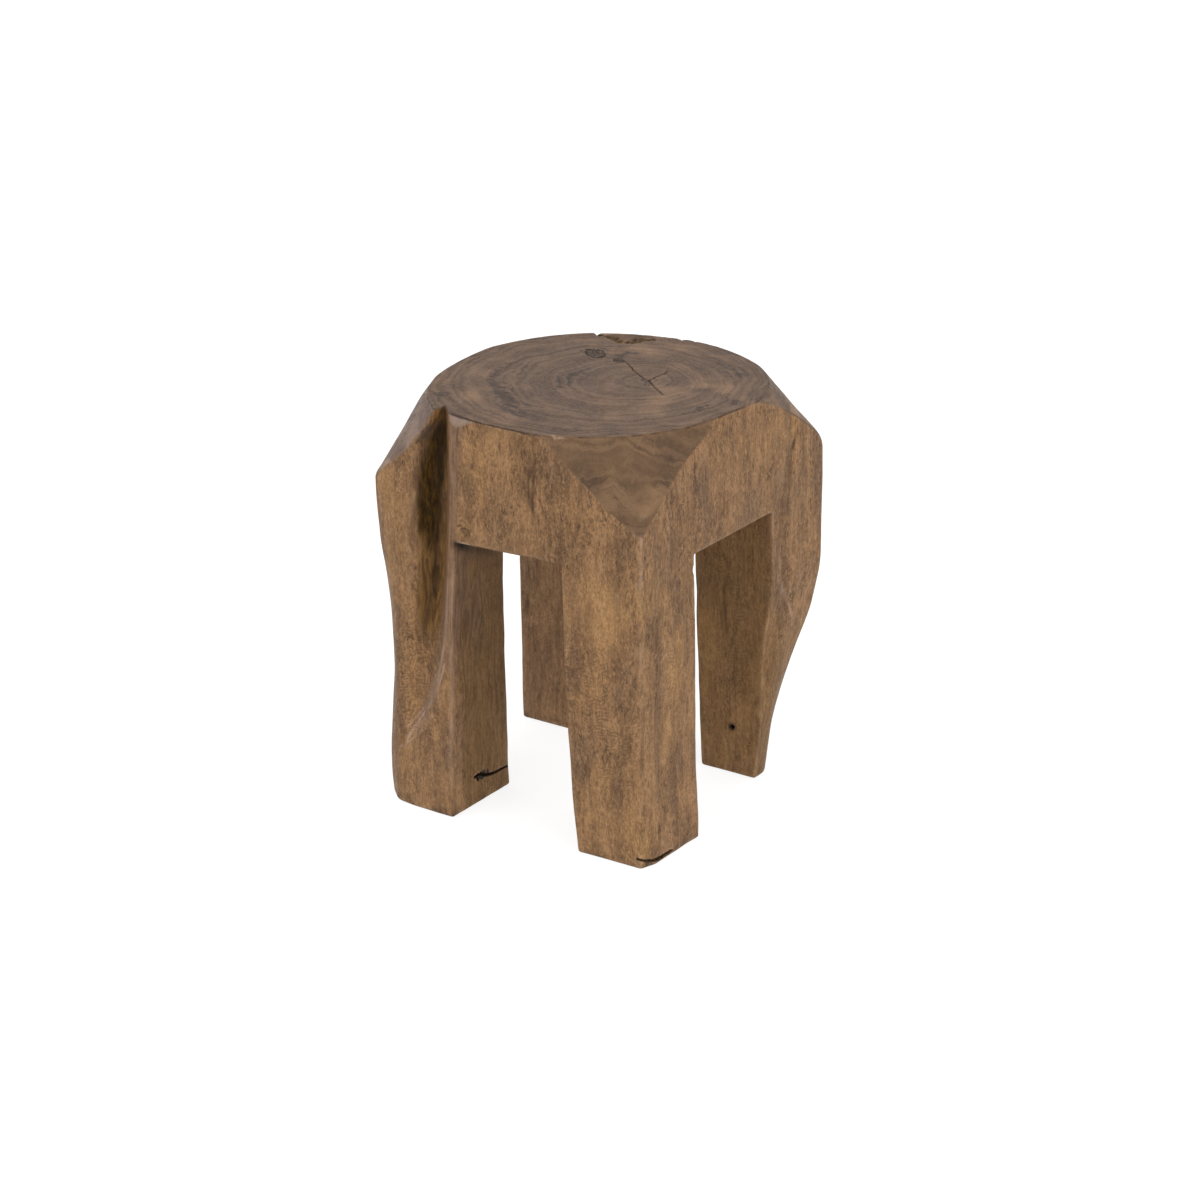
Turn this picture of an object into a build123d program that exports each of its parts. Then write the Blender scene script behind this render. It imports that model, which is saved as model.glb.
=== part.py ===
from build123d import *
import math
import os

# Stool carved from one short log, millimetres. +Z up, floor at z = 0, origin under the middle
# of the outline. Four corners are called front (+x -y), right (+x +y), back (-x +y), left (-x -y).

# ---- driving dimensions -------------------------------------------------------------------
HEIGHT = 450.0          # floor to seat
GLIDE_PROUD = 0.8       # how far each floor glide stands out of its foot
FOOT_Z = GLIDE_PROUD    # underside of the wooden feet
TIP_Z = 363.0           # where the corner facets start
CENTRE_X = 1.90         # moves the carved outline so that its box is centred on the origin
CENTRE_Y = 3.50

GLIDE_R = 11.0
GLIDE_THICK = 4.0
GLIDE_EDGE = 0.5
NAIL_R = 1.3
NAIL_LENGTH = 18.0
NAIL_HEAD_R = 3.6
NAIL_HEAD_THICK = 1.0
GLIDE_HEAD_COVER = 1.2  # glide material under the nail head

FILLER_DEPTH = 5.0
CHECK_DEPTH = 4.0

# ---- outline of the log below the facets --------------------------------------------------
# One row per level: z, then plan points of
#   left corner: on the back-left face, side, outermost, front, on the front-left face, inner edge
#   front corner x, y
#   right corner: on the front-right face, side, outermost, back, on the back-right face
#   back corner x, y
LEVELS = [
    (FOOT_Z, [(-166.5, -90), (-167.5, -138), (-163.5, -158.0), (-144, -173.0), (-118, -176.5), (-76, -176.0)],
     (161.0, -164.5),
     [(138.5, 88.5), (137.5, 107.5), (126.8, 126.8), (107.0, 140.5), (76, 146.5)],
     (-163.0, 160.0)),
    (47.0, [(-167, -90), (-168.2, -138), (-165.4, -159.6), (-146, -174.2), (-118, -176.8), (-76, -176.0)],
     (161.0, -164.9),
     [(143.4, 88.0), (142.0, 109.0), (131.0, 131.5), (112.0, 145.0), (76, 151.0)],
     (-164.8, 161.5)),
    (91.0, [(-167.5, -90), (-168.0, -138), (-164.2, -158.2), (-146, -171.8), (-118, -175.0), (-76, -175.0)],
     (161.0, -165.2),
     [(146.7, 87.0), (147.2, 110.0), (137.5, 140.5), (115.5, 152.4), (76, 156.0)],
     (-166.3, 162.8)),
    (140.0, [(-168, -90), (-167.4, -136), (-161.2, -156.0), (-144, -168.4), (-118, -173.0), (-76, -174.0)],
     (161.0, -165.6),
     [(148.8, 86.0), (152.6, 112.0), (148.2, 152.5), (120.0, 160.5), (76, 161.5)],
     (-167.6, 164.0)),
    (191.0, [(-168, -90), (-167.4, -136), (-161.8, -156.8), (-145, -169.2), (-118, -173.0), (-76, -173.4)],
     (161.0, -166.1),
     [(156.0, 85.0), (160.4, 116.0), (159.9, 165.9), (123.0, 168.2), (76, 166.6)],
     (-168.2, 165.2)),
    (248.0, [(-168, -90), (-168.0, -138), (-164.8, -160.0), (-147, -172.0), (-120, -174.6), (-76, -173.0)],
     (161.0, -166.6),
     [(164.0, 84.0), (166.6, 118.0), (167.2, 169.6), (124.0, 169.9), (76, 167.6)],
     (-168.2, 166.2)),
    (305.0, [(-168, -90), (-169.8, -140), (-170.0, -165.2), (-150, -173.8), (-122, -175.6), (-76, -172.6)],
     (161.0, -167.2),
     [(164.8, 82.0), (167.0, 118.0), (167.1, 169.0), (124.0, 169.8), (76, 168.0)],
     (-168.2, 167.0)),
    (TIP_Z, [(-168, -90), (-170.6, -142), (-171.3, -169.2), (-153, -174.2), (-124, -175.0), (-76, -172.3)],
     (161.0, -168.0),
     [(164.8, 80.0), (166.6, 118.0), (167.1, 168.6), (124.0, 169.6), (76, 169.2)],
     (-168.0, 168.4)),
    (405.0, [(-168, -90), (-170.6, -142), (-171.3, -169.4), (-153, -174.2), (-124, -174.6), (-76, -172.2)],
     (158.8, -169.2),
     [(164.8, 80.0), (166.4, 118.0), (167.1, 168.2), (124.0, 169.8), (76, 169.8)],
     (-167.6, 169.4)),
    (430.0, [(-168, -90), (-170.4, -142), (-171.2, -169.2), (-153, -174.0), (-124, -174.2), (-76, -172.2)],
     (155.0, -170.5),
     [(165.2, 70.0), (166.8, 118.0), (167.4, 168.2), (124.0, 169.8), (76, 169.9)],
     (-167.4, 169.6)),
    (HEIGHT, [(-168, -90), (-170.2, -142), (-171.2, -169.0), (-153, -173.8), (-124, -173.8), (-76, -172.2)],
     (144.0, -171.5),
     [(165.2, 50.0), (167.4, 118.0), (167.6, 168.4), (124.0, 169.8), (76, 170.0)],
     (-167.4, 169.8)),
]
# two more plan points on the front-right face, where the front leg's foot spreads; elsewhere the face is straight
SPREAD = {
    FOOT_Z: [(166.8, -146.0), (167.4, -66.0)],
    47.0: [(163.8, -146.0), (165.2, -64.0)],
    91.0: [(161.9, -146.0), (162.9, -63.0)],
    140.0: [(161.3, -146.0), (162.1, -62.0)],
    191.0: [(161.2, -146.0), (162.0, -61.0)],
}
FRONT_EASE = 3.0
BACK_EASE = 5.0

# ---- facets above TIP_Z --------------------------------------------------------------------
# One row per level: z, then for the front, right, back and left facet the plan points where the
# facet meets the two faces beside it, counterclockwise seen from above.
FACETS = [
    (TIP_Z, [((160.2, -169.4), (162.4, -167.2)), ((170.4, 167.6), (167.4, 170.6)),
             ((-165.8, 169.6), (-168.8, 166.6)), ((-173.4, -162.0), (-171.0, -166.0))]),
    (376.0, [((138.0, -168.8), (160.7, -149.5)), ((166.9, 162.0), (160.5, 169.6)),
             ((-149.0, 168.0), (-167.0, 149.0)), ((-170.4, -147.0), (-155.0, -172.6))]),
    (390.0, [((115.0, -169.6), (160.3, -130.0)), ((166.4, 147.0), (143.0, 169.4)),
             ((-130.0, 168.2), (-167.0, 131.0)), ((-169.4, -129.0), (-141.0, -173.2))]),
    (408.0, [((91.0, -170.4), (159.9, -108.0)), ((165.9, 122.0), (114.0, 169.4)),
             ((-105.0, 168.4), (-166.8, 108.0)), ((-168.0, -104.0), (-122.0, -173.2))]),
    (426.0, [((67.0, -171.2), (159.4, -76.0)), ((165.4, 93.0), (85.0, 169.6)),
             ((-78.0, 168.4), (-166.6, 84.0)), ((-167.2, -78.0), (-105.0, -172.8))]),
    (440.0, [((50.0, -171.8), (159.0, -41.0)), ((165.0, 62.0), (52.0, 169.8)),
             ((-50.0, 168.4), (-166.4, 58.0)), ((-166.6, -53.0), (-94.0, -172.4))]),
    (HEIGHT, [((36.0, -172.4), (158.8, -8.0)), ((164.2, 30.0), (16.0, 169.8)),
              ((-20.0, 168.4), (-166.2, 30.0)), ((-166.0, -26.0), (-86.0, -172.0))]),
]
# rise of each facet's curve over its chord, level by level
FACET_RISE = [
    (0.05, 0.07, 0.09, 0.11, 0.14, 0.163),
    (0.005, 0.03, 0.060, 0.095, 0.140, 0.187),
    (0.05, 0.07, 0.09, 0.105, 0.13, 0.160),
    (0.105, 0.108, 0.115, 0.12, 0.12, 0.115),
]

# ---- tunnels -------------------------------------------------------------------------------
# Wall positions of the tunnel that runs along y, as (x, z) at its front and back mouths, and of
# the one that runs along x, as (y, z) at its left and right mouths.
REACH = 200.0
ALONG_Y_FRONT = [(-70.0, -20), (-70.5, 100), (-70.5, 190), (-66.0, 311), (65.5, 316), (70.0, 178), (75.5, 100), (86.0, -5)]
ALONG_Y_BACK = [(-74.0, -20), (-74.0, 100), (-74.0, 190), (-73.0, 314), (64.0, 316), (63.5, 178), (63.5, 80), (64.0, -5)]
ALONG_X_LEFT = [(-76.0, -20), (-81.5, 100), (-85.0, 180), (-90.5, 315), (73.0, 315), (78.5, 190), (78.5, 100), (77.0, -5)]
ALONG_X_RIGHT = [(-64.5, -20), (-63.4, 100), (-64.6, 200), (-71.0, 318), (70.5, 319), (79.0, 190), (84.0, 96), (90.0, -5)]

# ---- natural hollows -----------------------------------------------------------------------
# z, centre x, centre y, radius of a round channel that runs down the log
LEFT_HOLLOW = [(458, -80, -169, 12.5), (430, -86, -170, 15.5), (408, -92, -168.5, 19.5), (390, -95.5, -167.5, 21.5), (350, -95.5, -166.5, 21.5), (300, -98, -167, 21.5),
               (245, -101, -170, 22), (195, -108, -176, 24), (150, -119, -185, 27), (110, -131, -194, 28),
               (78, -144, -204, 28), (55, -152, -212, 26)]
BACK_HOLLOW = [(458, -66, 204, 30), (438, -65, 198, 30), (418, -63, 191.5, 30), (380, -59, 191, 29), (345, -55, 196, 28), (315, -52, 203, 28)]

# ---- bark pocket at the back rim -----------------------------------------------------------
POCKET = [(-95, 128.5), (-84, 126.5), (-74, 123), (-64, 120), (-54, 120.5), (-47.5, 124), (-43.5, 133), (-38, 145), (-22, 158), (-6, 168)]
POCKET_DROP = 4.5       # under the seat's edge; the floor of the pocket rises from there to the log's rim
POCKET_LIP = 0.4
POCKET_LOW = (-60.0, 120.0)
POCKET_RIM = (-75.0, 153.0)
FISSURE_WIDTH = 3.0
FISSURE_DEPTH = 12.0

# ---- chip torn out of the front foot's lower edge: (y, z) outline and depth ------------------
CHIP = [(-158, 6.6), (-150, 4.6), (-140, 2.4), (-112, 2.4), (-107, 4.6), (-112, 8.6), (-122, 9.4), (-133, 8.6), (-146, 9.2), (-158, 10.0)]
CHIP_DEPTH = 4.5

# ---- filled defects in the seat ------------------------------------------------------------
KNOT = [(-76, 80), (-71, 87), (-63, 88), (-56, 83), (-50, 76), (-49, 66), (-55, 60), (-63, 62), (-71, 69)]
KNOT_SMALL = [(-36, 72), (-31, 76), (-25, 74), (-21, 68), (-24, 62), (-31, 63)]
CHECK_STEM = [(-19.5, 69.5), (-8, 60.5), (4, 49.5), (17, 40.5), (29, 32.5), (36, 31)]
CHECK_ARM_A = [(36, 31), (35, 44), (36.5, 58), (34, 70)]
CHECK_ARM_B = [(36, 31), (44, 24), (56, 14), (73, 2)]
CHECK_WIDTH = 2.6

# ---- floor glides --------------------------------------------------------------------------
GLIDES = {
    "front": (121.0, -117.0),
    "right": (104.0, 114.0),
    "back": (-117.0, 119.0),
    "left": (-118.0, -126.0),
}


def on_face(front, right, y):
    """The point of the front-right face at y when that face runs straight from corner to corner."""
    (x0, y0), (x1, y1) = front, right
    return (x0 + (x1 - x0) * (y - y0) / (y1 - y0), y)


def section(z, left, front, right, back, ease_front, ease_back):
    """Closed outline at one level: 4 faces, 2 eased corners and 2 curved corners with a soft crease, always 12 edges."""
    fx, fy = front
    bx, by = back
    near, far = SPREAD.get(z) or (on_face(front, right[0], -146.0), on_face(front, right[0], -62.0))
    p = [
        left[-1], (fx - ease_front, fy), (fx, fy + ease_front), right[0],
        right[-1], (bx + ease_back, by), (bx, by - ease_back), left[0],
    ]
    k = 0.29
    front_mid = (fx - ease_front * k, fy + ease_front * k)
    back_mid = (bx + ease_back * k, by - ease_back * k)
    v = lambda q: (q[0], q[1], z)
    line = lambda a, b: Edge.make_line(v(a), v(b))
    arc = lambda a, m, b: Edge.make_three_point_arc(v(a), v(m), v(b))
    curve = lambda pts: Edge.make_spline([v(q) for q in pts], parameters=[i / (len(pts) - 1) for i in range(len(pts))])
    return Wire([
        line(p[0], p[1]), arc(p[1], front_mid, p[2]), line(p[2], near), line(near, far), line(far, p[3]), curve(right[:3]), curve(right[2:]),
        line(p[4], p[5]), arc(p[5], back_mid, p[6]), line(p[6], p[7]), curve(left[:3]), curve(left[2:]),
    ])


def facet_waste(i):
    """What one corner facet takes off: everything outside a curved surface that widens from the tip to the seat."""
    wires = []
    rises = (FACET_RISE[i][0],) + tuple(FACET_RISE[i])
    rows = [(z, facets[i][0], facets[i][1], rise) for (z, facets), rise in zip(FACETS, rises)]
    (z0, a0, b0, r0), (z1, a1, b1, r1) = rows[-2], rows[-1]
    past = lambda p, q: (q[0] + (q[0] - p[0]) * 0.6, q[1] + (q[1] - p[1]) * 0.6)
    rows.append((z1 + (z1 - z0) * 0.6, past(a0, a1), past(b0, b1), r1 + (r1 - r0) * 0.6))
    for z, (ax, ay), (bx, by), bow in rows:
        chord = ((bx - ax) ** 2 + (by - ay) ** 2) ** 0.5
        ux, uy = (bx - ax) / chord, (by - ay) / chord
        nx, ny = uy, -ux
        rise = bow * chord
        turn = 2 * math.atan(2 * bow)
        c, s = math.cos(turn), math.sin(turn)
        run = 26.0
        first = (ax - run * (ux * c + nx * s), ay - run * (uy * c + ny * s))
        last = (bx + run * (ux * c - nx * s), by + run * (uy * c - ny * s))
        mid = ((ax + bx) / 2 + nx * rise, (ay + by) / 2 + ny * rise)
        far_a = (first[0] + nx * 60, first[1] + ny * 60)
        far_b = (last[0] + nx * 60, last[1] + ny * 60)
        v = lambda q: (q[0], q[1], z)
        wires.append(Wire([
            Edge.make_line(v(first), v((ax, ay))),
            Edge.make_three_point_arc(v((ax, ay)), v(mid), v((bx, by))),
            Edge.make_line(v((bx, by)), v(last)),
            Edge.make_line(v(last), v(far_b)),
            Edge.make_line(v(far_b), v(far_a)),
            Edge.make_line(v(far_a), v(first)),
        ]))
    return Solid.make_loft(wires)


def prism(points, z0, z1):
    face = Face(Wire.make_polygon([(x, y, z0) for x, y in points], close=True))
    return Solid.extrude(face, Vector(0, 0, z1 - z0))


def ribbon(points, width, z0, z1):
    """A thin upright wall that follows an open line of points, as one solid."""
    n = len(points)
    left, right = [], []
    for i, (x, y) in enumerate(points):
        a, b = points[max(i - 1, 0)], points[min(i + 1, n - 1)]
        dx, dy = b[0] - a[0], b[1] - a[1]
        m = (dx * dx + dy * dy) ** 0.5
        w = width / 2 * (0.45 if i in (0, n - 1) else 1.0)
        left.append((x - dy / m * w, y + dx / m * w))
        right.append((x + dy / m * w, y - dx / m * w))
    return prism(left + right[::-1], z0, z1)


def channel(rows):
    return Solid.make_loft([Wire.make_circle(r, Plane(origin=(x, y, z), z_dir=(0, 0, 1))) for z, x, y, r in rows[::-1]])


def pocket_floor():
    """What stays under the pocket: a block whose top slopes up from the seat's edge to the log's rim."""
    (x0, y0), (x1, y1) = POCKET_LOW, POCKET_RIM
    low, rim = HEIGHT - POCKET_DROP, HEIGHT - POCKET_LIP
    run = ((x1 - x0) ** 2 + (y1 - y0) ** 2) ** 0.5
    lean = math.atan2(rim - low, run)
    ux, uy = (x1 - x0) / run, (y1 - y0) / run
    up = (-math.sin(lean) * ux, -math.sin(lean) * uy, math.cos(lean))
    along = (ux * math.cos(lean), uy * math.cos(lean), math.sin(lean))
    base = Plane(origin=(x0 - 30 * up[0], y0 - 30 * up[1], low - 30 * up[2]), x_dir=along, z_dir=up)
    corners = [base.from_local_coords(Vector(a, b, 0)) for a, b in ((-150, -200), (150, -200), (150, 200), (-150, 200))]
    return Solid.extrude(Face(Wire.make_polygon(corners, close=True)), Vector(*[30 * c for c in up]))


def tunnel_y():
    front = Wire.make_polygon([(x, -REACH, z) for x, z in ALONG_Y_FRONT], close=True)
    back = Wire.make_polygon([(x, REACH, z) for x, z in ALONG_Y_BACK], close=True)
    return Solid.make_loft([front, back], ruled=True)


def tunnel_x():
    left = Wire.make_polygon([(-REACH, y, z) for y, z in ALONG_X_LEFT], close=True)
    right = Wire.make_polygon([(REACH, y, z) for y, z in ALONG_X_RIGHT], close=True)
    return Solid.make_loft([left, right], ruled=True)


def one_solid(shape):
    solids = sorted(shape.solids(), key=lambda s: s.volume)
    return solids[-1]


def carve():
    body = Solid.make_loft([section(z, l, f, r, b, FRONT_EASE, BACK_EASE) for z, l, f, r, b in LEVELS])
    for i in range(4):
        body = one_solid(body.cut(facet_waste(i)))
    body = body.cut(tunnel_y(), tunnel_x())
    body = body.cut(channel(LEFT_HOLLOW))
    body = body.cut(channel(BACK_HOLLOW))
    ledge = POCKET + [(-4, 190), (-112, 190), (-108, 134)]
    body = body.cut(prism(ledge, HEIGHT - POCKET_DROP - 2, HEIGHT + 5).cut(pocket_floor()))
    body = body.cut(ribbon(POCKET[:-2], FISSURE_WIDTH, HEIGHT - FISSURE_DEPTH, HEIGHT + 5))
    chip = Face(Wire.make_polygon([(SPREAD[FOOT_Z][0][0] - CHIP_DEPTH, y, z) for y, z in CHIP], close=True))
    body = body.cut(Solid.extrude(chip, Vector(20, 0, 0)))
    return one_solid(body)


def glide(x, y):
    cap = Solid.make_cylinder(GLIDE_R, GLIDE_THICK, Plane((x, y, 0)))
    rim = [e for e in cap.edges() if e.geom_type == GeomType.CIRCLE and e.center().Z < 0.1]
    return cap.chamfer(GLIDE_EDGE, None, rim)


def nail(x, y):
    head = Solid.make_cylinder(NAIL_HEAD_R, NAIL_HEAD_THICK, Plane((x, y, GLIDE_HEAD_COVER)))
    top = GLIDE_HEAD_COVER + NAIL_HEAD_THICK
    shank = Solid.make_cylinder(NAIL_R, NAIL_LENGTH - 3.0, Plane((x, y, top)))
    point = Solid.make_cone(NAIL_R, 0.2, 3.0, Plane((x, y, top + NAIL_LENGTH - 3.0)))
    return one_solid(head.fuse(shank, point))


body = carve()
nodes = {}

knot = prism(KNOT, HEIGHT - FILLER_DEPTH, HEIGHT)
knot_small = prism(KNOT_SMALL, HEIGHT - FILLER_DEPTH, HEIGHT)
check = one_solid(ribbon(CHECK_STEM, CHECK_WIDTH, HEIGHT - CHECK_DEPTH, HEIGHT).fuse(
    ribbon(CHECK_ARM_A, CHECK_WIDTH, HEIGHT - CHECK_DEPTH, HEIGHT),
    ribbon(CHECK_ARM_B, CHECK_WIDTH, HEIGHT - CHECK_DEPTH, HEIGHT)))
check = one_solid(check.cut(knot_small))
for name, piece in (("knot_filler", knot), ("knot_filler_small", knot_small), ("heart_check_filler", check)):
    body = one_solid(body.cut(piece))
    nodes[name] = piece

for name, (x, y) in GLIDES.items():
    pin = nail(x, y)
    cap = glide(x, y)
    # the foot has a shallow seat for the glide and a hole that the nail's own shape fills
    body = one_solid(body.cut(Solid.make_cylinder(GLIDE_R, GLIDE_THICK, Plane((x, y, 0)))))
    body = one_solid(body.cut(pin))
    nodes["glide_" + name] = one_solid(cap.cut(pin))
    nodes["glide_nail_" + name] = pin

nodes["carved_body"] = body

os.makedirs("parts", exist_ok=True)
for name, shape in nodes.items():
    export_step(shape.moved(Location((CENTRE_X, CENTRE_Y, 0))), "parts/" + name + ".step")

box = body.bounding_box()
print("body x %.2f..%.2f y %.2f..%.2f z %.2f..%.2f" % (box.min.X, box.max.X, box.min.Y, box.max.Y, box.min.Z, box.max.Z))
print("body volume %.0f cm3, solids %d, faces %d, valid %s" % (body.volume / 1000, len(body.solids()), len(body.faces()), body.is_valid))
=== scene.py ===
import math

import bpy
import numpy as np
from mathutils import Matrix, Vector


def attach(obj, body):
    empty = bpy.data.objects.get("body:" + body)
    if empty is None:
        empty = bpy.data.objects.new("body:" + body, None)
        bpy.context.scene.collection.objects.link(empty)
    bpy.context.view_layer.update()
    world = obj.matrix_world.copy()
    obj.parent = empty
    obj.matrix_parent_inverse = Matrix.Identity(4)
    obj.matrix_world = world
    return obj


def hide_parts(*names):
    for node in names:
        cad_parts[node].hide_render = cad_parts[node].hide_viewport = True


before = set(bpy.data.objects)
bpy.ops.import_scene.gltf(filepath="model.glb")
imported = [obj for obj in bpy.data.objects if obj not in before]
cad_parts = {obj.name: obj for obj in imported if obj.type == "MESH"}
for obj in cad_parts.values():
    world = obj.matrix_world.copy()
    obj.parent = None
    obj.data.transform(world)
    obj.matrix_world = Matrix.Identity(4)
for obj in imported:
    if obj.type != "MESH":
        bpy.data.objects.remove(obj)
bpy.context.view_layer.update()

# The stool's wood is worked out here as a distance field in millimetres, in the carver's frame:
# floor at z = 0, corners front (+x -y), right (+x +y), back (-x +y), left (-x -y).
# The CAD frame is this frame moved by SHIFT.
SHIFT = np.array([1.90, 3.50, 0.0])
HEIGHT, FOOT_Z, TIP_Z = 450.0, 0.3, 363.0
PITCH = 1.7


# ---------------------------------------------------------------------------------------------
# small numeric tools
# ---------------------------------------------------------------------------------------------
def pchip(xs, ys, x):
    """Shape-preserving cubic through (xs, ys); ys may have several columns. Holds the end values."""
    xs = np.asarray(xs, float)
    ys = np.asarray(ys, float)
    flat = ys.ndim == 1
    if flat:
        ys = ys[:, None]
    h = np.diff(xs)[:, None]
    s = np.diff(ys, axis=0) / h
    m = np.zeros_like(ys)
    if len(xs) > 2:
        w1 = 2 * h[1:] + h[:-1]
        w2 = h[1:] + 2 * h[:-1]
        same = s[:-1] * s[1:] > 0
        with np.errstate(divide="ignore", invalid="ignore"):
            mid = (w1 + w2) / (w1 / s[:-1] + w2 / s[1:])
        m[1:-1] = np.where(same, mid, 0.0)
    m[0], m[-1] = s[0], s[-1]
    x = np.clip(np.asarray(x, float), xs[0], xs[-1])
    i = np.clip(np.searchsorted(xs, x, side="right") - 1, 0, len(xs) - 2)
    t = ((x - xs[i]) / h[i, 0])[..., None]
    hh = h[i]
    out = (
        (2 * t**3 - 3 * t**2 + 1) * ys[i]
        + (t**3 - 2 * t**2 + t) * hh * m[i]
        + (-2 * t**3 + 3 * t**2) * ys[i + 1]
        + (t**3 - t**2) * hh * m[i + 1]
    )
    return out[..., 0] if flat else out


def smax(a, b, k):
    h = np.maximum(k - np.abs(a - b), 0.0) / k
    return np.maximum(a, b) + h * h * k * 0.25


def smin(a, b, k):
    return -smax(-a, -b, k)


def smooth(a, b, x):
    t = np.clip((x - a) / (b - a), 0.0, 1.0)
    return t * t * (3 - 2 * t)


def catmull(points, steps):
    """Centripetal Catmull-Rom through the points, with a straight run-in and run-out."""
    p = np.asarray(points, float)
    p = np.vstack([2 * p[0] - p[1], p, 2 * p[-1] - p[-2]])
    out = []
    for i in range(1, len(p) - 2):
        p0, p1, p2, p3 = p[i - 1], p[i], p[i + 1], p[i + 2]
        t0 = 0.0
        t1 = t0 + max(np.linalg.norm(p1 - p0), 1e-6) ** 0.5
        t2 = t1 + max(np.linalg.norm(p2 - p1), 1e-6) ** 0.5
        t3 = t2 + max(np.linalg.norm(p3 - p2), 1e-6) ** 0.5
        t = np.linspace(t1, t2, steps, endpoint=False)[:, None]
        a1 = (t1 - t) / (t1 - t0) * p0 + (t - t0) / (t1 - t0) * p1
        a2 = (t2 - t) / (t2 - t1) * p1 + (t - t1) / (t2 - t1) * p2
        a3 = (t3 - t) / (t3 - t2) * p2 + (t - t2) / (t3 - t2) * p3
        b1 = (t2 - t) / (t2 - t0) * a1 + (t - t0) / (t2 - t0) * a2
        b2 = (t3 - t) / (t3 - t1) * a2 + (t - t1) / (t3 - t1) * a3
        out.append((t2 - t) / (t2 - t1) * b1 + (t - t1) / (t2 - t1) * b2)
    out.append(p[-2][None])
    return np.vstack(out)


def waves(seed, count, low, high, stretch=(1, 1, 1)):
    """Smooth noise: a sum of plane waves with wavelengths from low to high millimetres, about -1 to 1."""
    r = np.random.default_rng(seed)
    direction = r.normal(size=(count, 3))
    direction /= np.linalg.norm(direction, axis=1)[:, None]
    length = np.exp(r.uniform(math.log(low), math.log(high), count))
    k = 2 * math.pi / length[:, None] * direction / np.array(stretch, float)
    phase = r.uniform(0, 2 * math.pi, count)
    gain = 1.0 / math.sqrt(count / 2)

    def value(p):
        total = np.zeros(len(p), np.float32)
        for i in range(count):
            total += np.sin(p[:, 0] * k[i, 0] + p[:, 1] * k[i, 1] + p[:, 2] * k[i, 2] + phase[i])
        return total * gain * 0.6

    return value


def blur(a, sigma, axis, wrap):
    if sigma <= 0:
        return a
    n = max(1, int(3 * sigma))
    k = np.exp(-0.5 * (np.arange(-n, n + 1) / sigma) ** 2)
    k /= k.sum()
    pad = [(0, 0)] * a.ndim
    pad[axis] = (n, n)
    b = np.pad(a, pad, mode="wrap" if wrap else "edge")
    out = np.zeros_like(a)
    for i, w in enumerate(k):
        sl = [slice(None)] * a.ndim
        sl[axis] = slice(i, i + a.shape[axis])
        out += w * b[tuple(sl)]
    return out


def to_path(p, path):
    """Distance from each point to an open line, and how far along it (0 to 1) the nearest point lies."""
    path = np.asarray(path, float)
    best = np.full(len(p), 1e9)
    along = np.zeros(len(p))
    seg = np.linalg.norm(np.diff(path, axis=0), axis=1)
    start = np.concatenate([[0], np.cumsum(seg)]) / seg.sum()
    for i in range(len(path) - 1):
        a, b = path[i], path[i + 1]
        ab = b - a
        t = np.clip(((p - a) @ ab) / max(ab @ ab, 1e-9), 0, 1)
        d = np.linalg.norm(p - a - t[:, None] * ab, axis=1)
        near = d < best
        best = np.where(near, d, best)
        along = np.where(near, start[i] + t * (start[i + 1] - start[i]), along)
    return best, along


def in_polygon(x, y, poly):
    poly = np.asarray(poly, float)
    inside = np.zeros(x.shape, bool)
    j = len(poly) - 1
    for i in range(len(poly)):
        xi, yi = poly[i]
        xj, yj = poly[j]
        if yi != yj:
            hit = ((yi > y) != (yj > y)) & (x < (xj - xi) * (y - yi) / (yj - yi) + xi)
            inside ^= hit
        j = i
    return inside


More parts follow.
